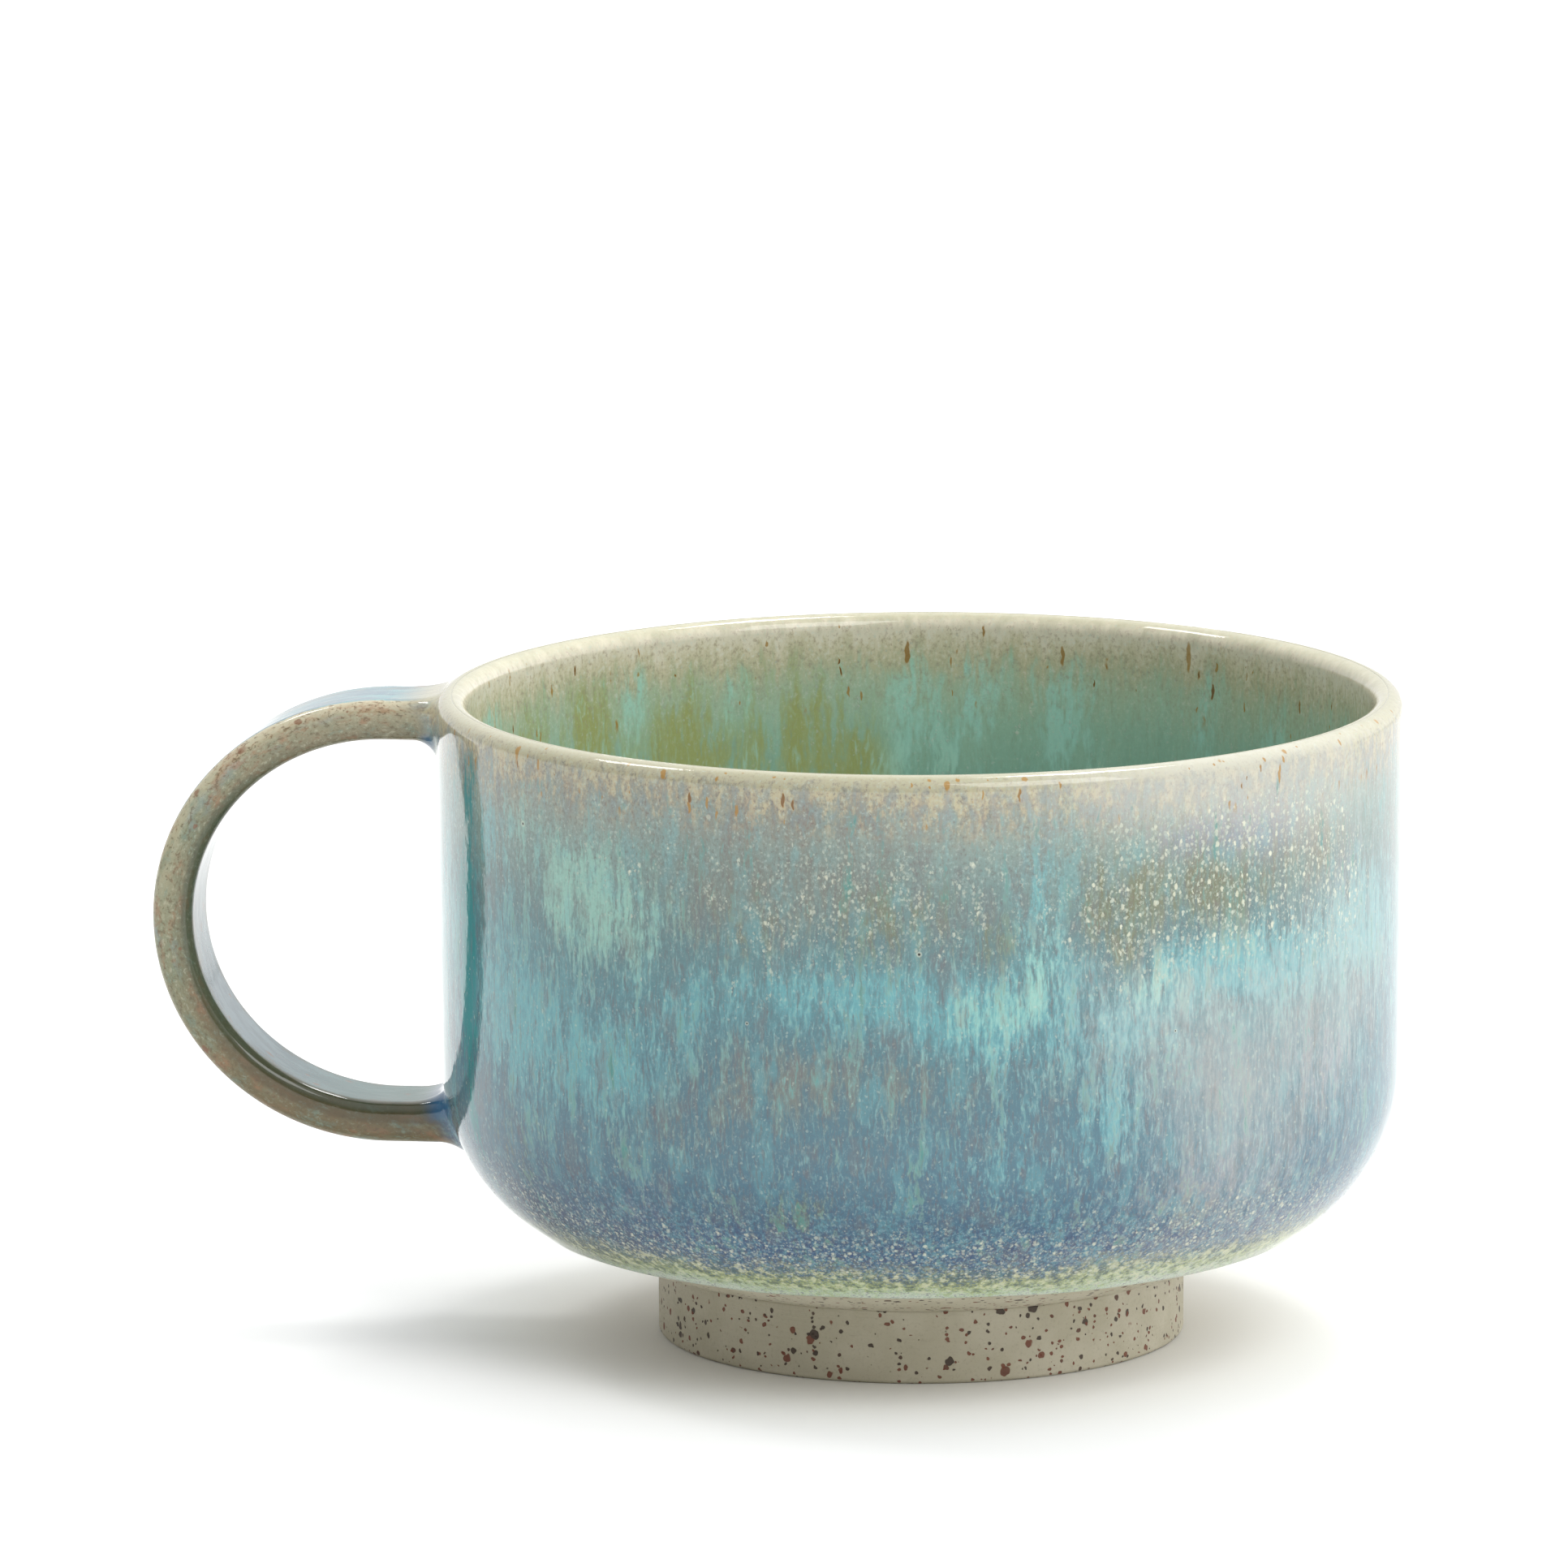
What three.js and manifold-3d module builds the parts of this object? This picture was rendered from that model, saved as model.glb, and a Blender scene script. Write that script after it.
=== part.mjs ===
// A low stoneware mug: a bowl with a turned foot ring, a strap handle luted on at two slip
// joints, and a fired coat of glaze on every face but the underside and the foot.
// Millimetres, +Z up. The origin is the middle of the footprint, on the table. The handle points to -X.
import * as THREE from "three";
import Module from "manifold-3d";
import { mergeVertices } from "three/addons/utils/BufferGeometryUtils.js";

// Finished sizes, over the glaze.
const RIM_RADIUS = 52.5;
const HEIGHT = 70.5;
const LIP_THICKNESS = 3.4;
const LOW_WALL_RADIUS = 52.2; // where the wall meets the corner curve
const CORNER_RADIUS = 19.7;
const UNDERSIDE_RADIUS = 66; // the shallow curve between the foot and the corner
const UNDERSIDE_ANGLE = 15.2; // its slope at the foot, in degrees
const FOOT_RADIUS = 28.7;
const FOOT_HEIGHT = 7.7;

// Clay and glaze.
const GLAZE = 0.5;
const COAT_GAP = 0.1; // between the clay and its coat of glaze
const JOINT_GAP = 0.3; // between pieces of clay, and where a coat is cut round a joint
const COAT = GLAZE + COAT_GAP;
const CLAY_WALL = 3.2;
const RECESS_DEPTH = 5; // under the floor, inside the foot ring
const FOOT_WALL = 4.2;
const FOOT_EDGE = 0.5; // bevel of the foot ring's lower edges

// Handle: a strap with round edges, bent into a half ellipse with a short straight at each end.
const STRAP_WIDTH = 11;
const STRAP_THICKNESS = 4.6;
const HANDLE_REACH = 84; // from the bowl's axis to the handle's outer face
const LOOP_START = 58.2; // from the axis, where the straights end
const LOOP_CENTRE_Z = 44.7;
const LOOP_HALF_HEIGHT = 22.3; // to the strap's middle line
const STRAP_ROOT = 46; // from the axis, inside the wall, where the strap is cut off
const FILLET = 3.2; // radius of the slip fillet round each end of the strap
const FILLET_EDGE = 0.5; // its thickness where it thins out on the strap
const FILLET_LENGTH = 4.2;

// Facets. The segments are a multiple of four, so that the widths come out exact.
const SEGMENTS = 40;
const UNDERSIDE_STEPS = 3;
const CORNER_STEPS = 5;
const LIP_STEPS = 3; // for a quarter turn
const LOOP_STEPS = 18;
const STRAP_EDGE_STEPS = 1; // pairs, on each round edge of the strap's section

const AXIS_X = (HANDLE_REACH - RIM_RADIUS) / 2;
const OVERSHOOT = 5; // how far a cutting tool passes what it cuts

const wasm = await Module();
wasm.setup();

function toSolid(geometry) {
  const bare = geometry.clone().deleteAttribute("normal").deleteAttribute("uv");
  const merged = mergeVertices(bare, 1e-4);
  return new wasm.Manifold(
    new wasm.Mesh({
      numProp: 3,
      vertProperties: merged.attributes.position.array,
      triVerts: new Uint32Array(merged.index.array),
    }),
  );
}

function toGeometry(solid) {
  const { vertProperties, triVerts } = solid.getMesh();
  const geometry = new THREE.BufferGeometry();
  geometry.setAttribute("position", new THREE.BufferAttribute(vertProperties, 3));
  geometry.setIndex(new THREE.BufferAttribute(triVerts, 1));
  geometry.computeVertexNormals();
  return geometry;
}

const radians = THREE.MathUtils.degToRad;

// An arc of the bowl's profile, about (r, z), by the angle from straight down.
function arc(r, z, radius, from, to, steps) {
  return Array.from({ length: steps + 1 }, (_, i) => {
    const angle = from + ((to - from) * i) / steps;
    return new THREE.Vector2(r + radius * Math.sin(angle), z - radius * Math.cos(angle));
  });
}

// Centres of the two curves, and the angle at which one passes into the other. The underside's
// clay starts just above the foot ring's outer edge.
const clayRadius = UNDERSIDE_RADIUS - COAT;
const underside = {
  r: FOOT_RADIUS - clayRadius * Math.sin(radians(UNDERSIDE_ANGLE)),
  z: FOOT_HEIGHT + JOINT_GAP + clayRadius * Math.cos(radians(UNDERSIDE_ANGLE)),
};
const centreGap = UNDERSIDE_RADIUS - CORNER_RADIUS;
const bend = Math.asin((LOW_WALL_RADIUS - CORNER_RADIUS - underside.r) / centreGap);
const corner = {
  r: LOW_WALL_RADIUS - CORNER_RADIUS,
  z: underside.z - centreGap * Math.cos(bend),
};
const lip = { r: RIM_RADIUS - LIP_THICKNESS / 2, z: HEIGHT - LIP_THICKNESS / 2 };

// The bowl's outside, sunk below the finished surface by depth, from the foot to an angle on the
// lip (90 degrees is its outer side, 180 its top).
function outside(depth, lipAngle) {
  const start = Math.asin((FOOT_RADIUS - underside.r) / (UNDERSIDE_RADIUS - depth));
  return [
    ...arc(underside.r, underside.z, UNDERSIDE_RADIUS - depth, start, bend, UNDERSIDE_STEPS),
    ...arc(corner.r, corner.z, CORNER_RADIUS - depth, bend, Math.PI / 2, CORNER_STEPS).slice(1),
    ...arc(lip.r, lip.z, LIP_THICKNESS / 2 - depth, Math.PI / 2, lipAngle, LIP_STEPS),
  ];
}

// The bowl's inside from an angle on the lip down to the axis, sunk below the finished surface by depth.
function inside(depth, lipAngle) {
  const wall = CLAY_WALL + 2 * COAT - depth;
  return [
    ...arc(lip.r, lip.z, LIP_THICKNESS / 2 - depth, lipAngle, 1.5 * Math.PI, LIP_STEPS),
    ...arc(corner.r, corner.z, CORNER_RADIUS - wall, Math.PI / 2, bend, CORNER_STEPS),
    ...arc(underside.r, underside.z, UNDERSIDE_RADIUS - wall, bend, 0, UNDERSIDE_STEPS).slice(1),
    new THREE.Vector2(0, underside.z - UNDERSIDE_RADIUS + wall),
  ];
}

const lathe = (profile) => new THREE.LatheGeometry(profile, SEGMENTS).rotateX(Math.PI / 2);

// Thrown and trimmed bowl, with a boss under its floor that the foot ring fits round.
function cupBody() {
  const bossRadius = FOOT_RADIUS - FOOT_WALL - JOINT_GAP;
  return lathe([
    new THREE.Vector2(0, RECESS_DEPTH),
    new THREE.Vector2(bossRadius, RECESS_DEPTH),
    new THREE.Vector2(bossRadius, FOOT_HEIGHT + JOINT_GAP),
    ...outside(COAT, Math.PI),
    ...inside(COAT, Math.PI).slice(1),
  ]);
}

// Turned foot, bevelled at both lower edges, with the flat face that the mug stands on.
function footRing() {
  const inner = FOOT_RADIUS - FOOT_WALL;
  return lathe([
    new THREE.Vector2(inner + FOOT_EDGE, 0),
    new THREE.Vector2(FOOT_RADIUS - FOOT_EDGE, 0),
    new THREE.Vector2(FOOT_RADIUS, FOOT_EDGE),
    new THREE.Vector2(FOOT_RADIUS, FOOT_HEIGHT),
    new THREE.Vector2(inner, FOOT_HEIGHT),
    new THREE.Vector2(inner, FOOT_EDGE),
    new THREE.Vector2(inner + FOOT_EDGE, 0),
  ]);
}

// The two coats meet at the top of the lip, a few degrees apart.
const LIP_SPLIT = radians(3);

function liner() {
  const skin = inside(0, Math.PI + LIP_SPLIT);
  const back = inside(GLAZE, Math.PI + LIP_SPLIT);
  return lathe([...back.reverse(), ...skin]);
}

// The outer coat ends where the corner curve meets the underside, which stays bare.
function outerCoat() {
  const skin = outside(0, Math.PI - LIP_SPLIT).slice(UNDERSIDE_STEPS);
  const back = outside(GLAZE, Math.PI - LIP_SPLIT).slice(UNDERSIDE_STEPS);
  return lathe([...skin, ...back.reverse(), skin[0].clone()]);
}

// The strap's section, grown by a margin: x across the strap, y out of the loop.
function strapSection(margin, outward = margin, inward = margin) {
  const halfWidth = STRAP_WIDTH / 2 - COAT + margin;
  const clayHalf = STRAP_THICKNESS / 2 - COAT;
  const top = clayHalf + outward;
  const bottom = -clayHalf - inward;
  const radius = 0.85 * clayHalf + Math.min(outward, inward, margin);
  const shape = new THREE.Shape();
  shape.absarc(halfWidth - radius, top - radius, radius, 0, Math.PI / 2);
  shape.absarc(radius - halfWidth, top - radius, radius, Math.PI / 2, Math.PI);
  shape.absarc(radius - halfWidth, bottom + radius, radius, Math.PI, 1.5 * Math.PI);
  shape.absarc(halfWidth - radius, bottom + radius, radius, 1.5 * Math.PI, 2 * Math.PI);
  const points = shape.extractPoints(STRAP_EDGE_STEPS).shape;
  return points.filter((p, i) => p.distanceTo(points[(i + 1) % points.length]) > 1e-6);
}

// A closed solid through rings of points, one ring at each station along the strap's middle line.
function loft(stations, sectionAt) {
  const rings = stations.map((s, i) =>
    sectionAt(i).map((p) => new THREE.Vector3(s.x + s.outX * p.y, p.x, s.z + s.outZ * p.y)),
  );
  const around = rings[0].length;
  const index = [];
  for (let ring = 0; ring + 1 < rings.length; ring++) {
    for (let i = 0; i < around; i++) {
      const a = ring * around + i;
      const b = ring * around + ((i + 1) % around);
      index.push(a, b + around, b, a, a + around, b + around);
    }
  }
  const cap = THREE.ShapeUtils.triangulateShape(sectionAt(0), []);
  const last = (rings.length - 1) * around;
  for (const [a, b, c] of cap) index.push(a, b, c, last + a, last + c, last + b);
  const geometry = new THREE.BufferGeometry().setFromPoints(rings.flat());
  geometry.setIndex(index);
  return toSolid(geometry);
}

// Stations of the strap's middle line, from inside the wall at the top, round to inside it below.
const station = (x, z, outX, outZ) => ({ x, z, outX, outZ });
const loopReach = HANDLE_REACH - STRAP_THICKNESS / 2 - LOOP_START;
const topZ = LOOP_CENTRE_Z + LOOP_HALF_HEIGHT;
const bottomZ = LOOP_CENTRE_Z - LOOP_HALF_HEIGHT;
const loopStations = Array.from({ length: LOOP_STEPS + 1 }, (_, i) => {
  const angle = (Math.PI * i) / LOOP_STEPS;
  const out = new THREE.Vector2(-Math.sin(angle) / loopReach, Math.cos(angle) / LOOP_HALF_HEIGHT).normalize();
  return station(
    -LOOP_START - loopReach * Math.sin(angle),
    LOOP_CENTRE_Z + LOOP_HALF_HEIGHT * Math.cos(angle),
    out.x,
    out.y,
  );
});
const strapStations = [
  station(-STRAP_ROOT, topZ, 0, 1),
  ...loopStations,
  station(-STRAP_ROOT, bottomZ, 0, -1),
];

// Everything the strap, its fillets and their coats are cut back from: the bowl grown by a gap.
const bowlSpace = (growth) =>
  toSolid(
    lathe([
      new THREE.Vector2(0, FOOT_HEIGHT),
      ...outside(COAT - growth, Math.PI),
      new THREE.Vector2(0, HEIGHT - COAT + growth),
    ]),
  );

// How far the wall's clay is from the axis at a height in the straight or corner part.
function wallRadius(z) {
  const rise = (z - corner.z) / (lip.z - corner.z);
  if (rise >= 0) return LOW_WALL_RADIUS - COAT + rise * (RIM_RADIUS - LOW_WALL_RADIUS);
  const radius = CORNER_RADIUS - COAT;
  return corner.r + Math.sqrt(radius ** 2 - (corner.z - z) ** 2);
}

// How much the wall's radius grows for each millimetre of height.
const wallSlope = (z) => wallRadius(z + 0.5) - wallRadius(z - 0.5);

// The slip fillet round one end of the strap, as a flare that a margin grows. Its sections lie along
// the wall. Its outward side, which is up at the top joint, spreads less there, under the lip.
function flare(z, outZ, outwardShare, margin) {
  const wall = wallRadius(z);
  const outX = -outZ * wallSlope(z);
  const steps = [-OVERSHOOT, 0, 0.12, 0.3, 0.55, 1].map((share) =>
    share < 0 ? { run: share, spread: FILLET } : { run: share * FILLET_LENGTH, spread: filletSpread(share) },
  );
  // Lofts run down the strap, which at the lower end is towards the wall.
  if (outZ < 0) steps.reverse();
  const stations = steps.map(({ run }) => station(-wall - run - (run > 0 ? margin : 0), z, outX, outZ));
  return loft(stations, (i) => {
    const { spread } = steps[i];
    const side = spread + FILLET_EDGE + margin;
    return strapSection(side, outwardShare * spread + FILLET_EDGE + margin, side);
  });
}

// Width of a quarter-round fillet at a share of its length from the wall.
function filletSpread(share) {
  const left = 1 - share;
  return FILLET * (1 - Math.sqrt(1 - left * left));
}

const UPPER_OUTWARD_SHARE = 0.2;
const flareUpper = (margin) => flare(topZ, 1, UPPER_OUTWARD_SHARE, margin);
const flareLower = (margin) => flare(bottomZ, -1, 1, margin);

const strapSolid = (margin) => loft(strapStations, () => strapSection(margin));

function handle() {
  return strapSolid(0).subtract(bowlSpace(JOINT_GAP));
}

function slipJoint(flareAt) {
  return flareAt(0).subtract(strapSolid(JOINT_GAP)).subtract(bowlSpace(JOINT_GAP));
}

// The coat on the strap, from one slip fillet to the other.
function handleCoat() {
  const keepOut = [flareUpper(JOINT_GAP), flareLower(JOINT_GAP), bowlSpace(JOINT_GAP)];
  const sleeve = strapSolid(COAT).subtract(strapSolid(COAT_GAP));
  return keepOut.reduce((solid, tool) => solid.subtract(tool), sleeve);
}

// The coat on the bowl, with an opening cut in it round each joint.
function bowlCoat() {
  return [flareUpper(JOINT_GAP), flareLower(JOINT_GAP)].reduce(
    (solid, tool) => solid.subtract(tool),
    toSolid(outerCoat()),
  );
}

const stoneware = () => new THREE.MeshStandardMaterial({ color: 0xb3ac97, roughness: 0.75, metalness: 0 });
const glaze = (color) => new THREE.MeshStandardMaterial({ color, roughness: 0.15, metalness: 0 });

const mug = new THREE.Group();
mug.position.x = AXIS_X;

function addPiece(name, geometry, material) {
  const mesh = new THREE.Mesh(geometry, material);
  mesh.name = name;
  mug.add(mesh);
}

addPiece("cup_body", cupBody(), stoneware());
addPiece("foot_ring", footRing(), stoneware());
addPiece("handle_strap", toGeometry(handle()), stoneware());
addPiece("slip_joint_upper", toGeometry(slipJoint(flareUpper)), stoneware());
addPiece("slip_joint_lower", toGeometry(slipJoint(flareLower)), stoneware());
addPiece("glaze_outside", toGeometry(bowlCoat()), glaze(0x7fa3a6));
addPiece("glaze_inside", liner(), glaze(0x7d9f87));
addPiece("glaze_handle", toGeometry(handleCoat()), glaze(0x8a8a72));

export default mug;
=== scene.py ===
"""A low stoneware mug with a strap handle: fine meshes and a runny reactive glaze over the CAD frame."""

import math

import bpy
import numpy as np
from mathutils import Matrix, Vector


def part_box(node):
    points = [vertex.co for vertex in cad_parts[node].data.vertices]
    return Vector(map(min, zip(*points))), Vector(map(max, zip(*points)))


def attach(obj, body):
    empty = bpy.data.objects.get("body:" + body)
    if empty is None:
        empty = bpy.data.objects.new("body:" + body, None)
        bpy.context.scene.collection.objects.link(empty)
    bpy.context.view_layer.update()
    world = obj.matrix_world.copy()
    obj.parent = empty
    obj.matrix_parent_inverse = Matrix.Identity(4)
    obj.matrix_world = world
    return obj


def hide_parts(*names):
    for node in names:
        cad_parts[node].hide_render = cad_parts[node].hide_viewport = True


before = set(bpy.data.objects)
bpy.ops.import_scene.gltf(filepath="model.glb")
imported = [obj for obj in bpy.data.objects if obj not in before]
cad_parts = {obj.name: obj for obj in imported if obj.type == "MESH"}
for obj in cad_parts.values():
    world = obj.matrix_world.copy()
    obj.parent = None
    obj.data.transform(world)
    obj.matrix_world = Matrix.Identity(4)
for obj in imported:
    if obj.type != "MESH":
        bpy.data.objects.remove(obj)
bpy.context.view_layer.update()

# Sizes in millimetres. Those that the frame holds are read from it.
MM = 0.001


def cad_corners(node):
    low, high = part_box(node)
    return np.array(low) / MM, np.array(high) / MM


bowl_low, bowl_high = cad_corners("glaze_outside")
foot_low, foot_high = cad_corners("foot_ring")
strap_low, strap_high = cad_corners("glaze_handle")

AXIS_X = (foot_low[0] + foot_high[0]) / 2
RIM_RADIUS = (bowl_high[1] - bowl_low[1]) / 2
HEIGHT = bowl_high[2]
FOOT_RADIUS = (foot_high[1] - foot_low[1]) / 2
FOOT_HEIGHT = foot_high[2]
HANDLE_REACH = AXIS_X - strap_low[0]
STRAP_WIDTH = strap_high[1] - strap_low[1]

LIP_THICKNESS = 3.4
WALL_TAPER = 0.3  # the wall's lean outwards, from the corner curve to the lip
CORNER_RADIUS = 19.7
UNDERSIDE_RADIUS = 66
UNDERSIDE_ANGLE = math.radians(15.2)
JOINT_GAP = 0.3
GLAZE = 0.5
COAT = 0.6
WALL = 4.4  # at the corner curve, with both coats
RECESS_DEPTH = 5
FOOT_WALL = 4.2
STRAP_THICKNESS = 4.6
LOOP_START = 58.2
LOOP_CENTRE_Z = 44.7
LOOP_HALF_HEIGHT = 22.3

LIP_RADIUS = LIP_THICKNESS / 2
lip_r = RIM_RADIUS - LIP_RADIUS
lip_z = HEIGHT - LIP_RADIUS
corner_r = RIM_RADIUS - WALL_TAPER - CORNER_RADIUS
underside_r = FOOT_RADIUS - (UNDERSIDE_RADIUS - COAT) * math.sin(UNDERSIDE_ANGLE)
underside_z = FOOT_HEIGHT + JOINT_GAP + (UNDERSIDE_RADIUS - COAT) * math.cos(UNDERSIDE_ANGLE)
BEND = math.asin((corner_r - underside_r) / (UNDERSIDE_RADIUS - CORNER_RADIUS))
corner_z = underside_z - (UNDERSIDE_RADIUS - CORNER_RADIUS) * math.cos(BEND)

# The camera, in degrees, metres and, for the point it looks at, millimetres.
CAMERA_AZIMUTH = math.radians(7.4)  # from the front, round towards +X
CAMERA_ELEVATION = math.radians(10.42)
CAMERA_ROLL = math.radians(-0.25)
CAMERA_DISTANCE = 1.4206
CAMERA_LENS = 300.4  # on a sensor 36 mm wide
AIM_LEFT = 14.75  # of the bowl's axis
AIM_HEIGHT = 60.28

# How bright the room is, where the backdrop's white is 1.
FRONT_LIGHT = 0.15
BACKDROP_LIGHT = 1.05
RIGHT_LIGHT = 1.1
OVERHEAD_LIGHT = 0.95
SOFTBOX_DISTANCE = 1.6

SEGMENTS = 384  # round the bowl
STRAP_SEGMENTS = 112  # round the strap


# ---------------------------------------------------------------- camera, floor and light


def add_camera():
    a, e, roll = CAMERA_AZIMUTH, CAMERA_ELEVATION, CAMERA_ROLL
    right = Vector((math.cos(a), math.sin(a), 0))
    forward = Vector((-math.sin(a) * math.cos(e), math.cos(a) * math.cos(e), -math.sin(e)))
    up = right.cross(forward)
    level_right = right.copy()
    right = math.cos(roll) * level_right + math.sin(roll) * up
    up = math.cos(roll) * up - math.sin(roll) * level_right
    aim = Vector((AXIS_X, 0, AIM_HEIGHT)) * MM - level_right * AIM_LEFT * MM
    camera = bpy.data.objects.new("camera", bpy.data.cameras.new("camera"))
    camera.data.lens = CAMERA_LENS
    camera.data.sensor_width = 36
    camera.data.clip_end = 50
    axes = Matrix((right, up, -forward)).transposed().to_4x4()
    camera.matrix_world = Matrix.Translation(aim - forward * CAMERA_DISTANCE) @ axes
    bpy.context.scene.collection.objects.link(camera)
    bpy.context.scene.camera = camera


def add_softbox(name, azimuth, elevation, size, power):
    """A square soft light that faces the mug."""
    a, e = math.radians(azimuth), math.radians(elevation)
    light = bpy.data.lights.new(name, "AREA")
    light.shape = "SQUARE"
    light.size = size
    light.energy = power
    facing = Vector((math.sin(a) * math.cos(e), -math.cos(a) * math.cos(e), math.sin(e)))
    place = facing * SOFTBOX_DISTANCE
    aim = Vector((0, 0, 0.04))
    lamp = bpy.data.objects.new(name, light)
    lamp.location = aim + place
    lamp.rotation_euler = place.to_track_quat("Z", "Y").to_euler()
    bpy.context.scene.collection.objects.link(lamp)


def add_world():
    """A white backdrop behind the mug, brighter to the camera's right, dimmer in front and to its left."""
    world = bpy.data.worlds.new("studio")
    world.use_nodes = True
    nodes, links = world.node_tree.nodes, world.node_tree.links
    direction = nodes.new("ShaderNodeTexCoord").outputs["Generated"]
    a = CAMERA_AZIMUTH
    parts = (
        ((-math.sin(a), math.cos(a), 0), 0.0, 0.8, BACKDROP_LIGHT - FRONT_LIGHT),
        ((math.cos(a), math.sin(a), 0), 0.1, 0.9, RIGHT_LIGHT),
        ((0, 0, 1), 0.1, 0.9, OVERHEAD_LIGHT),
    )
    total = None
    for axis, low, high, light in parts:
        dot = nodes.new("ShaderNodeVectorMath")
        dot.operation = "DOT_PRODUCT"
        links.new(direction, dot.inputs[0])
        dot.inputs[1].default_value = axis
        share = nodes.new("ShaderNodeMapRange")
        share.interpolation_type = "SMOOTHSTEP"
        links.new(dot.outputs["Value"], share.inputs["Value"])
        share.inputs["From Min"].default_value = low
        share.inputs["From Max"].default_value = high
        share.inputs["To Max"].default_value = light
        add = nodes.new("ShaderNodeMath")
        links.new(share.outputs[0], add.inputs[0])
        if total is None:
            add.inputs[1].default_value = FRONT_LIGHT
        else:
            links.new(total, add.inputs[1])
        total = add.outputs[0]
    background = nodes["Background"]
    background.inputs["Color"].default_value = (1, 1, 1, 1)
    links.new(total, background.inputs["Strength"])
    bpy.context.scene.world = world


# ---------------------------------------------------------------- shader building


def linear(value):
    share = value / 255
    return share / 12.92 if share <= 0.04045 else ((share + 0.055) / 1.055) ** 2.4


def paint(red, green, blue):
    """A colour by its 0 to 255 screen values, as linear light."""
    return linear(red), linear(green), linear(blue), 1


class Graph:
    """Builds a material's nodes, one call a node."""

    def __init__(self, name):
        self.material = bpy.data.materials.new(name)
        self.material.use_nodes = True
        self.nodes = self.material.node_tree.nodes
        self.links = self.material.node_tree.links
        self.shader = self.nodes["Principled BSDF"]

    def put(self, socket, value):
        if isinstance(value, bpy.types.NodeSocket):
            self.links.new(value, socket)
        else:
            socket.default_value = value

    def attribute(self, name, output="Fac"):
        node = self.nodes.new("ShaderNodeAttribute")
        node.attribute_name = name
        return node.outputs[output]

    def math(self, operation, a, b=0.0, clamp=False):
        node = self.nodes.new("ShaderNodeMath")
        node.operation = operation
        node.use_clamp = clamp
        self.put(node.inputs[0], a)
        self.put(node.inputs[1], b)
        return node.outputs[0]

    def add(self, first, *others):
        for other in others:
            first = self.math("ADD", first, other)
        return first

    def times(self, first, *others):
        for other in others:
            first = self.math("MULTIPLY", first, other)
        return first

    def sway(self, *noises):
        """The sum of some noises as shifts, each up to half its amount either way."""
        return self.add(*[self.times(self.add(noise, -0.5), amount) for noise, amount in noises])

    def third(self, vector):
        node = self.nodes.new("ShaderNodeSeparateXYZ")
        self.put(node.inputs[0], vector)
        return node.outputs[2]

    def band(self, value, low, high, bottom=0.0, top=1.0):
        """Rises smoothly from bottom to top as value goes from low to high."""
        node = self.nodes.new("ShaderNodeMapRange")
        node.interpolation_type = "SMOOTHSTEP"
        self.put(node.inputs["Value"], value)
        node.inputs["From Min"].default_value = low
        node.inputs["From Max"].default_value = high
        node.inputs["To Min"].default_value = bottom
        node.inputs["To Max"].default_value = top
        return node.outputs[0]

    def zone(self, value, start, full, fading, end):
        """1 between full and fading, and 0 before start and after end."""
        return self.times(self.band(value, start, full), self.band(value, fading, end, 1.0, 0.0))

    def mix(self, factor, a, b):
        node = self.nodes.new("ShaderNodeMix")
        node.data_type = "RGBA"
        self.put(node.inputs[0], factor)
        self.put(node.inputs[6], a)
        self.put(node.inputs[7], b)
        return node.outputs[2]

    def tint(self, colour, share, most, tint):
        """Mixes a tint into a colour by a share, up to the most."""
        return self.mix(self.times(share, most), colour, tint)

    def patches(self, colour, ragged, zone, *patches):
        """Lays a tint over each kind of soft spot inside a zone, with borders drawn out into streaks."""
        for key, most, tint in patches:
            share = self.band(self.add(self.attribute(key), ragged), 0.2, 0.95)
            colour = self.tint(colour, self.times(share, zone), most, tint)
        return colour

    def speckle(self, colour, *tints):
        """Lays each tint where its noise goes from low to high, inside its zone if it has one."""
        for noise, low, high, zone, most, tint in tints:
            share = self.band(noise, low, high)
            if zone is not None:
                share = self.times(share, zone)
            colour = self.tint(colour, share, most, tint)
        return colour

    def ramp(self, value, stops):
        """A colour by value, from a list of (value, colour)."""
        low, high = stops[0][0], stops[-1][0]
        share = self.math("DIVIDE", self.math("SUBTRACT", value, low), high - low, clamp=True)
        node = self.nodes.new("ShaderNodeValToRGB")
        elements = node.color_ramp.elements
        while len(elements) < len(stops):
            elements.new(1.0)
        for element, (place, colour) in zip(elements, stops):
            element.position = (place - low) / (high - low)
            element.color = colour
        self.put(node.inputs[0], share)
        return node.outputs[0]

    def stretch(self, vector, across, along, shift=0.0):
        """Scales a vector so that a unit is across millimetres in x and y, and along in z."""
        node = self.nodes.new("ShaderNodeMapping")
        node.inputs["Location"].default_value = (shift, shift, shift)
        node.inputs["Scale"].default_value = (1 / across, 1 / across, 1 / along)
        self.put(node.inputs["Vector"], vector)
        return node.outputs[0]

    def noise(self, vector, across, along, detail=2.0, roughness=0.5, shift=0.0):
        node = self.nodes.new("ShaderNodeTexNoise")
        node.inputs["Scale"].default_value = 1.0
        node.inputs["Detail"].default_value = detail
        node.inputs["Roughness"].default_value = roughness
        self.put(node.inputs["Vector"], self.stretch(vector, across, along, shift))
        return node.outputs[0]

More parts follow.
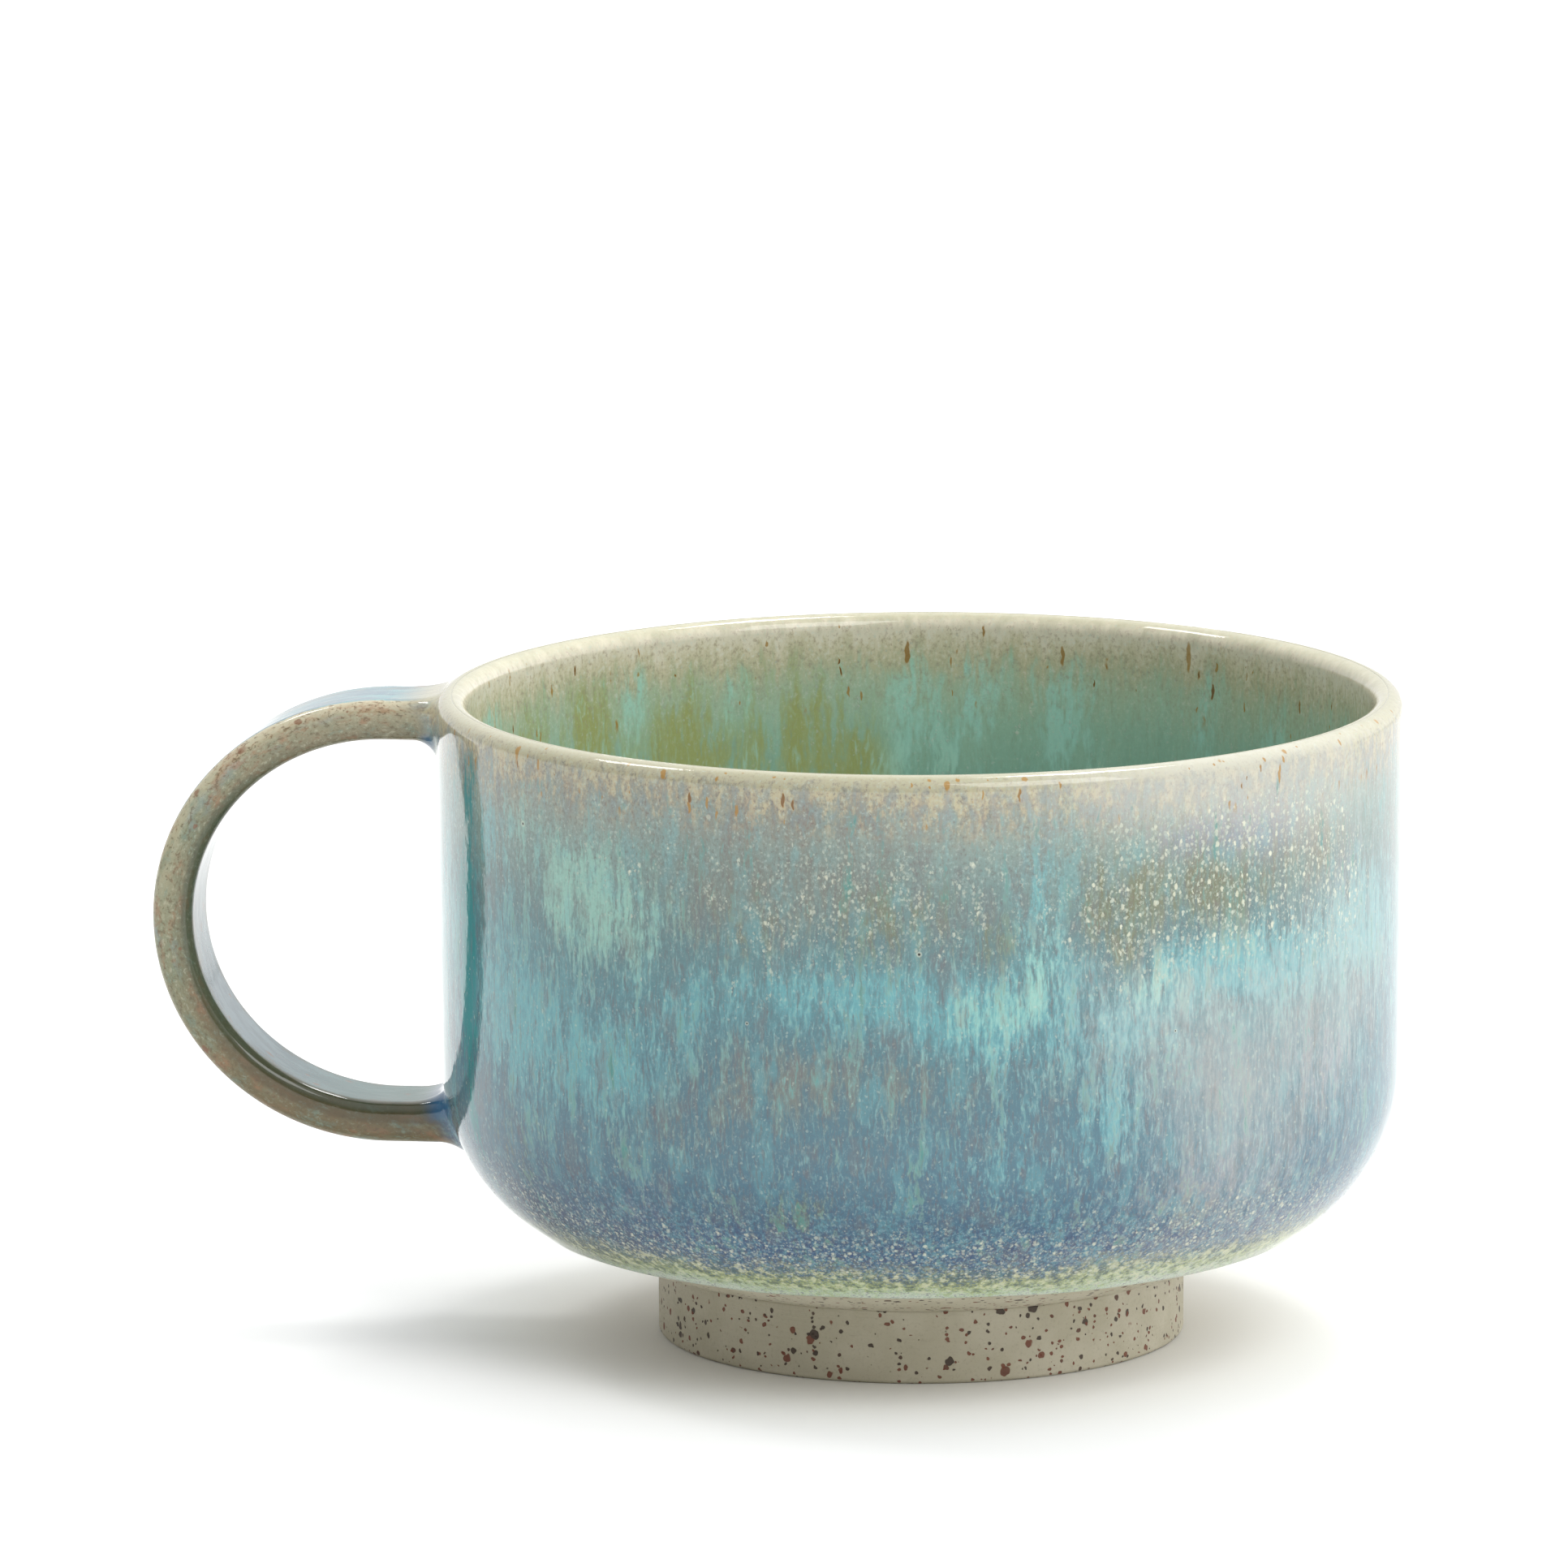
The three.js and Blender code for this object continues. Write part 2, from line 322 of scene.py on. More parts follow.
    def warp(self, vector, size, amount):
        """Shifts each place by a noise of that size, up to half the amount either way, in millimetres."""
        node = self.nodes.new("ShaderNodeTexNoise")
        node.inputs["Scale"].default_value = 1 / size
        node.inputs["Detail"].default_value = 1.0
        self.put(node.inputs["Vector"], vector)
        shift = self.nodes.new("ShaderNodeVectorMath")
        shift.operation = "MULTIPLY_ADD"
        self.put(shift.inputs[0], node.outputs["Color"])
        shift.inputs[1].default_value = (amount, amount, amount)
        self.put(shift.inputs[2], vector)
        return shift.outputs[0]

    def spots(self, vector, across, along, small, large, share=1.0, shift=0.0):
        """Round spots, small to large in radius as shares of a cell, in that share of the cells.
        Gives 1 on a spot and 0 off it, and a random value for each cell."""
        cell = self.nodes.new("ShaderNodeTexVoronoi")
        cell.inputs["Scale"].default_value = 1.0
        self.put(cell.inputs["Vector"], self.stretch(vector, across, along, shift))
        split = self.nodes.new("ShaderNodeSeparateColor")
        self.put(split.inputs[0], cell.outputs["Color"])
        radius = self.band(split.outputs[0], 0.0, 1.0, small, large)
        inside = self.math("DIVIDE", self.math("SUBTRACT", radius, cell.outputs["Distance"]), radius)
        chosen = self.math("LESS_THAN", split.outputs[1], share)
        return self.times(self.band(inside, 0.0, 0.45), chosen), split.outputs[2]

    def bump(self, height, depth, normal=None):
        """Raises the surface by height times depth, in millimetres."""
        node = self.nodes.new("ShaderNodeBump")
        node.inputs["Strength"].default_value = 1.0
        node.inputs["Distance"].default_value = depth * MM
        self.put(node.inputs["Height"], height)
        if normal is not None:
            self.put(node.inputs["Normal"], normal)
        return node.outputs[0]

    def position(self):
        """The place on the piece, in millimetres."""
        coordinates = self.nodes.new("ShaderNodeTexCoord")
        return self.stretch(coordinates.outputs["Object"], MM, MM)

    def finish(self, colour, roughness, normal):
        self.put(self.shader.inputs["Base Color"], colour)
        self.put(self.shader.inputs["Roughness"], roughness)
        self.put(self.shader.inputs["Normal"], normal)
        return self.material


# ---------------------------------------------------------------- the bowl's profile

LIP_RUN = LIP_RADIUS * math.pi / 2
WALL_RUN = lip_z - corner_z
CORNER_RUN = CORNER_RADIUS * (math.pi / 2 - BEND)
GLAZE_END = LIP_RUN + WALL_RUN + CORNER_RUN  # the run from the lip's top to the glaze's lower edge


def outside(run):
    """The finished outside at a run in millimetres down from the lip's top: radius, height and normal."""
    down = run - LIP_RUN
    on_corner = (down - WALL_RUN) / CORNER_RADIUS
    below = BEND - (run - GLAZE_END) / UNDERSIDE_RADIUS
    pick = [down < 0, down < WALL_RUN, run < GLAZE_END]
    tilt = np.select(pick, [math.pi / 2 - run / LIP_RADIUS, 0 * run, -on_corner], below - math.pi / 2)
    nr, nz = np.cos(tilt), np.sin(tilt)
    wall_r = RIM_RADIUS - WALL_TAPER * down / WALL_RUN
    lip_wall_corner = [lip_r + LIP_RADIUS * nr, wall_r, corner_r + CORNER_RADIUS * nr]
    r = np.select(pick, lip_wall_corner, underside_r + UNDERSIDE_RADIUS * nr)
    lip_wall_corner = [lip_z + LIP_RADIUS * nz, lip_z - down, corner_z + CORNER_RADIUS * nz]
    z = np.select(pick, lip_wall_corner, underside_z + UNDERSIDE_RADIUS * nz)
    return r, z, nr, nz


INNER_CORNER = CORNER_RADIUS - WALL
INNER_UNDERSIDE = UNDERSIDE_RADIUS - WALL
INNER_LIP_R = lip_r - LIP_RADIUS
INNER_WALL_END = LIP_RUN + WALL_RUN
INNER_CORNER_END = INNER_WALL_END + INNER_CORNER * (math.pi / 2 - BEND)
INNER_FLOOR = INNER_CORNER_END + INNER_UNDERSIDE * BEND
INNER_END = INNER_FLOOR + underside_r


def inside(run):
    """The finished inside, in the same way, from the lip's top down to the axis."""
    down = run - LIP_RUN
    on_corner = (run - INNER_WALL_END) / INNER_CORNER
    below = BEND - (run - INNER_CORNER_END) / INNER_UNDERSIDE
    pick = [down < 0, down < WALL_RUN, run < INNER_CORNER_END, run < INNER_FLOOR]
    slope = [run / LIP_RADIUS + math.pi / 2, math.pi + 0 * run, math.pi - on_corner, below + math.pi / 2]
    tilt = np.select(pick, slope, math.pi / 2)
    nr, nz = np.cos(tilt), np.sin(tilt)
    lean = corner_r + INNER_CORNER - INNER_LIP_R
    r = np.select(
        pick,
        [
            lip_r + LIP_RADIUS * nr,
            INNER_LIP_R + lean * down / WALL_RUN,
            corner_r - INNER_CORNER * nr,
            underside_r - INNER_UNDERSIDE * nr,
        ],
        INNER_END - run,
    )
    z = np.select(
        pick,
        [
            lip_z + LIP_RADIUS * nz,
            lip_z - down,
            corner_z - INNER_CORNER * nz,
            underside_z - INNER_UNDERSIDE * nz,
        ],
        underside_z - INNER_UNDERSIDE,
    )
    return r, z, nr, nz


def run_at(z):
    """The run down the outside at a height above the glaze's lower edge."""
    z = np.clip(z, corner_z - CORNER_RADIUS * math.cos(BEND), HEIGHT)
    on_lip = LIP_RADIUS * np.arccos(np.clip((z - lip_z) / LIP_RADIUS, 0, 1))
    on_corner = CORNER_RADIUS * np.arcsin(np.clip((corner_z - z) / CORNER_RADIUS, 0, 1))
    return np.where(z > corner_z, on_lip + np.clip(lip_z - z, 0, WALL_RUN), LIP_RUN + WALL_RUN + on_corner)


def smoothstep(value, low, high):
    share = np.clip((value - low) / (high - low), 0.0, 1.0)
    return share * share * (3 - 2 * share)


# ---------------------------------------------------------------- where the glaze changes colour

# Soft spots in the outer glaze, of its colours and of painted light (the handle's reflection, and shade at
# the lower left): bearing in degrees from the camera's side, run down from the lip, half width and half
# height in millimetres, strength. Bearings run to the right.
MINT = [
    (-45, 16, 6, 6.5, 1.0), (-36, 19, 5, 6, 0.7), (6, 27, 6, 4, 0.55), (13, 22, 2.5, 7, 0.7),
    (27, 24, 5, 4, 0.7), (-56, 10, 4, 6, 0.4), (40, 22, 6, 3, 0.4), (95, 22, 9, 6, 0.8),
    (128, 16, 7, 7, 0.9), (165, 26, 6, 6, 0.7), (-168, 15, 8, 6, 0.9), (-140, 24, 7, 7, 0.7),
]
TURQUOISE = [
    (-60, 31, 10, 8, 0.9), (-42, 34, 12, 6, 0.8), (-17, 24, 7, 4.5, 0.65), (-3, 25, 8, 4.5, 0.7),
    (7, 28, 8, 6, 0.75), (13, 17, 3, 12, 0.7), (34, 23, 12, 4.5, 1.0), (25, 29, 8, 4, 0.6),
    (22, 38, 4, 6, 0.7), (48, 24, 9, 5, 0.7), (65, 22, 10, 7, 0.8), (-30, 26, 6, 5, 0.4),
    (10, 42, 6, 5, 0.4), (-62, 12, 6, 9, 0.6), (88, 30, 10, 8, 0.8), (112, 24, 9, 6, 0.9),
    (140, 30, 11, 7, 0.8), (172, 22, 9, 8, 0.8), (-155, 30, 11, 8, 0.9), (-130, 20, 9, 9, 0.8),
    (-100, 30, 9, 12, 0.8), (-80, 24, 7, 14, 0.8),
]
OLIVE = [
    (23, 15, 5, 6, 0.8), (35, 15, 8, 6, 0.75), (48, 12, 6, 6, 0.5), (56, 12, 5, 5, 0.5),
    (-3, 17, 7, 4.5, 0.55), (8, 19, 4, 4, 0.5), (-20, 18, 6, 5, 0.45), (24, 21, 2.5, 4, 0.6),
    (-60, 46, 5, 4, 0.4), (-14, 48, 6, 4, 0.35), (34, 50, 6, 4, 0.4), (104, 13, 8, 5, 0.8),
    (150, 14, 9, 5, 0.9), (-178, 30, 6, 5, 0.4), (-150, 13, 7, 5, 0.6), (-122, 12, 6, 5, 0.6),
]
HAZE = [
    (-22, 14, 10, 6, 0.8), (-8, 12, 9, 5, 0.6), (-16, 34, 12, 5, 0.7), (2, 33, 7, 4, 0.6),
    (-30, 40, 9, 5, 0.4), (16, 33, 4, 5, 0.35), (20, 10, 8, 4, 0.25), (-16, 5, 11, 3.5, 0.65),
    (44, 37, 8, 4, 0.3), (80, 13, 9, 6, 0.6), (120, 38, 12, 5, 0.6), (158, 40, 9, 5, 0.5),
    (-165, 42, 9, 6, 0.5), (-135, 36, 9, 5, 0.5), (-110, 12, 6, 6, 0.6),
]
VIOLET = [
    (44, 10, 9, 4.5, 0.9), (32, 9, 6, 3, 0.6), (58, 15, 6, 6, 0.5), (38, 47, 10, 5, 0.5),
    (-36, 50, 8, 5, 0.4), (56, 36, 9, 7, 0.5), (118, 10, 8, 4, 0.6), (-175, 10, 8, 4, 0.7),
    (150, 48, 12, 5, 0.5),
]
CRYSTALS = [
    (26, 15, 7, 8, 0.9), (38, 13, 8, 8, 1.0), (50, 13, 8, 8, 0.8), (58, 18, 7, 8, 0.5),
    (2, 14, 14, 8, 0.32), (-16, 15, 12, 8, 0.3), (-40, 10, 12, 6, 0.25), (12, 56, 30, 5, 0.65),
    (-25, 56, 24, 5, 0.6), (45, 54, 18, 6, 0.6), (-60, 54, 16, 6, 0.55), (100, 14, 10, 8, 0.8),
    (150, 14, 12, 8, 0.9), (-150, 14, 9, 8, 0.7), (90, 55, 30, 6, 0.6), (140, 55, 30, 6, 0.6),
    (-170, 55, 30, 6, 0.6), (-115, 55, 30, 6, 0.6),
]
# A painted reflection: the dark teal strip that the handle throws on the glossy wall beside it.
HANDLE_REFLECTION = [(-68.5, 27, 2.2, 25, 1.15)]
# Painted shade: dark spots that darken the wall's lower left, near the foot.
PAINTED_SHADE = [(-60, 55, 11, 7, 1.0), (-42, 56, 9, 4, 0.6)]
PALE = [
    (38, 3, 24, 5, 1.0), (40, 47, 14, 5, 0.35), (48, 9, 16, 4, 0.4), (31, 27, 16, 8, 0.55),
    (38, 38, 12, 8, 0.6), (58, 32, 14, 12, 0.5), (62, 18, 12, 14, 0.4), (40, 57, 26, 7, 0.5),
    (-172, 5, 20, 6, 0.6), (140, 34, 16, 20, 0.4), (-110, 40, 14, 20, 0.3),
]
OUTER_SPOTS = {
    "mint": MINT,
    "turquoise": TURQUOISE,
    "olive": OLIVE,
    "haze": HAZE,
    "violet": VIOLET,
    "handle_reflection": HANDLE_REFLECTION,
    "painted_shade": PAINTED_SHADE,
    "crystals": CRYSTALS,
    "pale": PALE,
}

# The same for the inner glaze, by the bearing of the outside there.
INNER_OLIVE = [
    (-132, 12, 5, 7, 0.9), (-148, 15, 7, 8, 1.0), (-163, 13, 5, 8, 0.8), (-172, 18, 6, 8, 0.8),
    (-118, 12, 5, 6, 0.7), (150, 30, 5, 9, 0.4), (120, 22, 5, 10, 0.5), (60, 20, 7, 10, 0.6),
    (10, 18, 8, 9, 0.6), (-40, 22, 7, 9, 0.7), (-80, 16, 6, 9, 0.6),
]
INNER_MINT = [
    (-140, 9, 3, 5, 0.6), (-155, 10, 3, 4, 0.5), (-179, 14, 4, 8, 0.7), (172, 12, 3, 8, 0.8),
    (160, 12, 4, 8, 0.7), (140, 14, 3, 9, 0.6), (126, 13, 3, 6, 0.5), (95, 14, 5, 10, 0.6),
    (35, 16, 6, 9, 0.6), (-15, 14, 5, 9, 0.6), (-60, 14, 5, 9, 0.6), (-105, 10, 5, 6, 0.7),
]
INNER_SPOTS = {"olive": INNER_OLIVE, "mint": INNER_MINT}


def bearing_of(angle):
    """Degrees from the camera's side round the bowl, from -180 to 180, for an angle about its axis."""
    return (np.degrees(angle) + 90 - math.degrees(CAMERA_AZIMUTH) + 180) % 360 - 180


def soft_spots(spots, angle, run):
    bearing = bearing_of(angle)
    total = np.zeros_like(bearing)
    for spot_bearing, spot_run, half_width, half_height, strength in spots:
        turn = (bearing - spot_bearing + 180) % 360 - 180
        across = np.radians(turn) * RIM_RADIUS / half_width
        total += strength * np.exp(-(across**2) - ((run - spot_run) / half_height) ** 2)
    return total


def flow_coordinates(radius, angle, run):
    """Coordinates whose third runs down the glaze's way, and whose others go round without a seam."""
    return np.stack([radius * np.cos(angle), radius * np.sin(angle), run], -1)


# ---------------------------------------------------------------- mesh building

WOBBLE = 0.07  # how far the bowl is out of round
THROWING_RINGS = 0.035  # the depth of the potter's finger marks
LIP_BLEND = 6.0  # the run over which both set in below the lip
EDGE_RISE = 0.35  # the mean height of the glaze's wavy lower edge above the profile's end
EDGE_WAVES = 0.55
EDGE_BULGE = 0.16  # how far the glaze's rolled lower edge stands out
EDGE_SWELL = 1.1  # the run over which it swells
ROLL_EXTRA = 0.08  # how much deeper the roll is than the coat's back
ROLL_LENGTH = 1.15  # of the roll's half thickness
LIP_LAP = 0.05  # how far the outer coat laps over the lip's top
BACK_STEP = 1.5  # between rows on a coat's hidden back
FOOT_EDGE = 0.55  # the rounding of the foot ring's lower edges
OVERLAP = 0.1  # how far the bowl and the foot ring run into each other

angles = np.arange(SEGMENTS) * 2 * math.pi / SEGMENTS


def mesh_from_rings(name, rings, attributes, joined, material):
    """A mesh through rings of points in millimetres from the bowl's axis. A ring of one point closes an
    end. Where joined, the last ring meets the first. An attribute has one value, or vector, per point."""
    starts = np.cumsum([0] + [len(ring) for ring in rings])
    faces = []
    for i in range(len(rings) if joined else len(rings) - 1):
        j = (i + 1) % len(rings)
        upper, lower = len(rings[i]), len(rings[j])
        here = np.arange(max(upper, lower))
        there = (here + 1) % len(here)
        a, b = starts[i] + here % upper, starts[i] + there % upper
        c, d = starts[j] + there % lower, starts[j] + here % lower
        if upper == 1:
            corners = (a, c, d)
        elif lower == 1:
            corners = (a, b, c)
        else:
            corners = (a, b, c, d)
        faces += np.stack(corners, -1).tolist()
    points = np.concatenate(rings) + np.array([AXIS_X, 0, 0])
    mesh = bpy.data.meshes.new(name)
    mesh.from_pydata((points * MM).tolist(), [], faces)
    mesh.shade_smooth()
    for key, values in attributes.items():
        add_attribute(mesh, key, values)
    mesh.materials.append(material)
    piece = bpy.data.objects.new(name, mesh)
    bpy.context.scene.collection.objects.link(piece)
    return piece


def add_attribute(mesh, key, values):
    values = np.asarray(values, np.float32)
    kind, field = ("FLOAT_VECTOR", "vector") if values.ndim == 2 else ("FLOAT", "value")
    mesh.attributes.new(key, kind, "POINT").data.foreach_set(field, values.ravel())


def stand_in(piece, slot, *nodes):
    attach(piece, "root")
    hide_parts(*nodes)


def hand_thrown(angle, z):
    """How far the surface lies inside its true circle: a slow wobble round and faint throwing rings."""
    round_wobble = 0.5 + 0.3 * np.sin(2 * angle + 0.7) + 0.2 * np.sin(3 * angle + z / 23)
    rings = 0.5 + 0.5 * np.sin(z / 1.45 + 1.2 * np.sin(angle + z / 9))
    return WOBBLE * round_wobble + THROWING_RINGS * rings


def turned(radius, z):
    """A ring of points round the axis, or the one point on it."""
    radius = np.broadcast_to(radius, angles.shape)
    z = np.broadcast_to(z, angles.shape)
    if radius.max() < 1e-6:
        return np.array([[0, 0, z[0]]])
    return np.stack([radius * np.cos(angles), radius * np.sin(angles), z], -1)


def glaze_shell(name, profile, rows, joined, spots, material):
    """A coat of glaze turned on a profile. A row is (run, depth below the finished surface, share), and
    the share is how far the row follows the lower edge's waves."""
    rings = []
    values = {key: [] for key in ("flow", *spots)}
    waves = 0.5 * np.sin(3 * angles + 1.0) + 0.35 * np.sin(7 * angles + 2.1) + 0.2 * np.sin(16 * angles)
    for run, depth, share in rows:
        here = run - EDGE_RISE + share * waves * EDGE_WAVES if share else np.full(SEGMENTS, run)
        r, z, nr, nz = profile(here)
        sunk = depth + hand_thrown(angles, z) * smoothstep(run, 0.0, LIP_BLEND) if run > 0 else depth
        ring = turned(r - nr * sunk, z - nz * sunk)
        count = len(ring)
        rings.append(ring)
        values["flow"].append(flow_coordinates(r[:count], angles[:count], here[:count]))
        for key, places in spots.items():
            values[key].append(soft_spots(places, angles[:count], here[:count]))
    attributes = {key: np.concatenate(parts) for key, parts in values.items()}
    return mesh_from_rings(name, rings, attributes, joined, material)


def edge_share(run):
    """How far the outer coat follows its lower edge's waves, growing over the last few millimetres."""
    return float(smoothstep(run, GLAZE_END - 5, GLAZE_END - 1))


def add_outer_glaze(material):
    """The outer coat: its face from the lip down, the rolled lower edge, and its back up again."""
    face = np.concatenate([np.linspace(-LIP_LAP, LIP_RUN, 14), np.arange(LIP_RUN + 0.4, GLAZE_END, 0.42)])
    rows = []
    for run in face:
        swell = EDGE_BULGE * math.exp(-(((GLAZE_END - run) / EDGE_SWELL) ** 2))
        rows.append((run, -swell, edge_share(run)))
    half = (GLAZE + ROLL_EXTRA + EDGE_BULGE) / 2
    for turn in np.linspace(0, math.pi, 12)[1:]:
        depth = half - EDGE_BULGE - half * math.cos(turn)
        rows.append((face[-1] + ROLL_LENGTH * half * math.sin(turn), depth, 1.0))
    for run in np.arange(GLAZE_END - BACK_STEP, 0, -BACK_STEP):
        rows.append((run, GLAZE, edge_share(run)))
    rows.append((-LIP_LAP, GLAZE, 0.0))
    piece = glaze_shell("outer_glaze", outside, rows, True, OUTER_SPOTS, material)
    stand_in(piece, "glaze_outside", "glaze_outside")
    return piece


def add_inner_glaze(material):
    """The inner coat, from its back at the axis up to the lip and down its face to the axis again."""
    lip = np.linspace(0, LIP_RUN, 12)
    wall = np.arange(LIP_RUN + 0.45, INNER_FLOOR, 0.5)
    floor = np.linspace(INNER_FLOOR, INNER_END, 24)
    face = np.concatenate([lip, wall, floor])
    rows = [(run, 0.0, 0.0) for run in face]
    back = [(run, GLAZE, 0.0) for run in np.append(face[:-1:4], INNER_END)]
    piece = glaze_shell("inner_glaze", inside, back[::-1] + rows, False, INNER_SPOTS, material)
    stand_in(piece, "glaze_inside", "glaze_inside")


def under_coat(profile, runs):
    """The clay's radius and height under a coat of glaze, at each run."""
    places = []
    for run in runs:
        r, z, nr, nz = profile(run)
        places.append((r - COAT * nr, z - COAT * nz))
    return places


def add_cup_body(material):
    """The thrown bowl under its glaze, with the trimmed recess inside the foot."""
    recess_r = FOOT_RADIUS - FOOT_WALL + OVERLAP
    tool_marks = 0.07
    recess = [(r, RECESS_DEPTH + tool_marks * math.sin(2.4 * r)) for r in np.linspace(0, recess_r, 50)]
    neck = [(recess_r, z) for z in np.linspace(RECESS_DEPTH + 0.2, FOOT_HEIGHT + JOINT_GAP, 6)]
    underside_end = GLAZE_END + (UNDERSIDE_RADIUS - COAT) * (BEND - UNDERSIDE_ANGLE)
    bare = np.arange(underside_end, GLAZE_END - 3, -0.35)
    hidden = np.arange(GLAZE_END - 4, 0, -1.2)
    outer = under_coat(outside, np.concatenate([bare, hidden]))
    inner = under_coat(inside, np.linspace(0, INNER_END, 70))
    rings = [turned(r, z) for r, z in recess + neck + outer + inner]
    piece = mesh_from_rings("cup_clay", rings, {}, False, material)
    stand_in(piece, "stoneware", "cup_body")


def add_foot(material):
    """The turned foot ring, its lower edges rounded by a wet finger."""
    edge = FOOT_EDGE
    inner = FOOT_RADIUS - FOOT_WALL
    top = FOOT_HEIGHT + JOINT_GAP + OVERLAP
    profile = [(FOOT_RADIUS - 0.02, z) for z in np.linspace(edge, top, 24)]
    profile += [(inner, z) for z in np.linspace(top, edge, 16)]
    for turn in np.linspace(0, math.pi / 2, 7)[1:]:
        profile.append((inner + edge - edge * math.cos(turn), edge - edge * math.sin(turn)))
    profile += [(r, 0.0) for r in np.linspace(inner + edge, FOOT_RADIUS - edge, 10)[1:]]
    for turn in np.linspace(0, math.pi / 2, 7)[1:-1]:
        profile.append((FOOT_RADIUS - edge + edge * math.sin(turn), edge - edge * math.cos(turn)))
    piece = mesh_from_rings("foot_clay", [turned(r, z) for r, z in profile], {}, True, material)
    stand_in(piece, "stoneware", "foot_ring")


# ---------------------------------------------------------------- the handle

STRAP_ROUNDING = 1.3
STRAP_CROWN = 0.06  # how much thinner the strap is at its edges, as a share
LIP_CLEARANCE = 0.2  # how far the upper fillet stays below the lip's top
WALL_SINK = 0.006  # how far a fillet's edge lies in the wall
SEAM_PLACE = 0.5  # of the rusty seam, from the crease
SEAM_WIDTH = 0.45
loop_reach = HANDLE_REACH - STRAP_THICKNESS / 2 - LOOP_START


def strap_section(margin):
    """Points round the strap's section, evenly spaced, and their outward normals: across and outward."""
    rounding = STRAP_ROUNDING + margin
    flat_across = STRAP_WIDTH / 2 - STRAP_ROUNDING
    flat_outward = STRAP_THICKNESS / 2 - STRAP_ROUNDING
    outline = []
    for quarter, (side, face) in enumerate(((1, 1), (-1, 1), (-1, -1), (1, -1))):
        for turn in (quarter + np.linspace(0, 1, 40)) * math.pi / 2:
            across = side * flat_across + rounding * math.cos(turn)
            outline.append((across, face * flat_outward + rounding * math.sin(turn)))
    outline = np.array(outline + outline[:1])
    outline[:, 1] *= 1 - STRAP_CROWN * (2 * outline[:, 0] / STRAP_WIDTH) ** 2
    length = np.concatenate([[0], np.cumsum(np.linalg.norm(np.diff(outline, axis=0), axis=1))])
    even = np.linspace(0, length[-1], STRAP_SEGMENTS, endpoint=False)
    points = np.stack([np.interp(even, length, outline[:, k]) for k in (0, 1)], -1)
    tangent = np.roll(points, -1, 0) - np.roll(points, 1, 0)
    normal = np.stack([tangent[:, 1], -tangent[:, 0]], -1)
    return points, normal / np.linalg.norm(normal, axis=1, keepdims=True)


def wall_x(y, z, depth):
    """The x of the wall, sunk by depth, on the handle's side."""
    run = run_at(z)
    r = outside(run)[0]
    angle = np.arctan2(y, -np.sqrt(np.maximum(r**2 - y**2, 1)))
    r = r - depth - hand_thrown(angle, z) * smoothstep(run, 0.0, LIP_BLEND)
    return -np.sqrt(r**2 - y**2)


class Joint:
    """Where one end of the strap's middle line meets the wall. Its fillet has a width, over which it
    spreads on the wall, and a length, over which it runs out along the strap, on the strap's outer face,
    narrow sides and inner face. Glaze pools in its crease over the pool's size, where the crease faces
    between the two limits, from outward to inward."""

    def __init__(self, z, outward, over, side, under, pool_size, pool_facing):
        self.z = z
        self.outward = outward
        self.over = np.array(over)
        self.side = np.array(side)
        self.under = np.array(under)
        self.pool_size = pool_size
        self.pool_facing = pool_facing

    def fillet_size(self, normal):
        face = np.abs(normal[:, 1:])
        broad = np.where(normal[:, 1:] > 0, self.over, self.under)
        return (self.side * (1 - face) + broad * face).T

    def fillet_ring(self, turn, margin, depth):
        """The fillet's points at a turn from 0, lying on the wall, to a quarter circle, on the strap."""
        points, normal = strap_section(margin)
        width, length = self.fillet_size(normal)
        spread = points + normal * (width * (1 - math.sin(turn)))[:, None]
        y = spread[:, 0]
        z = np.minimum(self.z + self.outward * spread[:, 1], HEIGHT - LIP_CLEARANCE - depth)
        x = wall_x(y, z, depth) - length * (1 - math.cos(turn)) + WALL_SINK
        return np.stack([x, y, z], -1)

    def crease(self, margin, depth):
        """Where the strap, run straight on, would meet the wall sunk by depth."""
        across, outward = strap_section(margin)[0].T
        z = self.z + self.outward * outward
        return np.stack([wall_x(across, z, depth), across, z], -1)


UPPER = Joint(
    LOOP_CENTRE_Z + LOOP_HALF_HEIGHT,
    1,
    over=(1.0, 5.0),
    side=(2.6, 3.2),
    under=(2.9, 2.8),
    pool_size=2.0,
    pool_facing=(0.25, -0.5),
)
LOWER = Joint(
    LOOP_CENTRE_Z - LOOP_HALF_HEIGHT,
    -1,
    over=(2.6, 3.0),
    side=(2.8, 4.2),
    under=(2.2, 4.8),
    pool_size=2.9,
    pool_facing=(0.5, -0.4),
)


def loop_rings(margin, rows):
    """Rings of the strap round its half ellipse, from the top down."""
    points, _ = strap_section(margin)
    loop = []
    for angle in np.linspace(0, math.pi, rows):
        out = np.array([-math.sin(angle) / loop_reach, math.cos(angle) / LOOP_HALF_HEIGHT])
        out /= np.linalg.norm(out)
        x = -LOOP_START - loop_reach * math.sin(angle) + out[0] * points[:, 1]
        z = LOOP_CENTRE_Z + LOOP_HALF_HEIGHT * math.cos(angle) + out[1] * points[:, 1]
        loop.append(np.stack([x, points[:, 0], z], -1))
    return loop


def strap_rings(margin, depth, loop_rows, fillet_rows):
    """Rings of the strap from the upper landing on the wall, round the loop, to the lower landing."""
    turns = np.linspace(0, math.pi / 2, fillet_rows)
    loop = loop_rings(margin, loop_rows)
    upper = [UPPER.fillet_ring(turn, margin, depth) for turn in turns]
    lower = [LOWER.fillet_ring(turn, margin, depth) for turn in turns[::-1]]
    between = np.linspace(0, 1, 5)[1:-1]
    upper += [upper[-1] * (1 - share) + loop[0] * share for share in between]
    lower = [loop[-1] * (1 - share) + lower[0] * share for share in between] + lower
    return upper + loop + lower


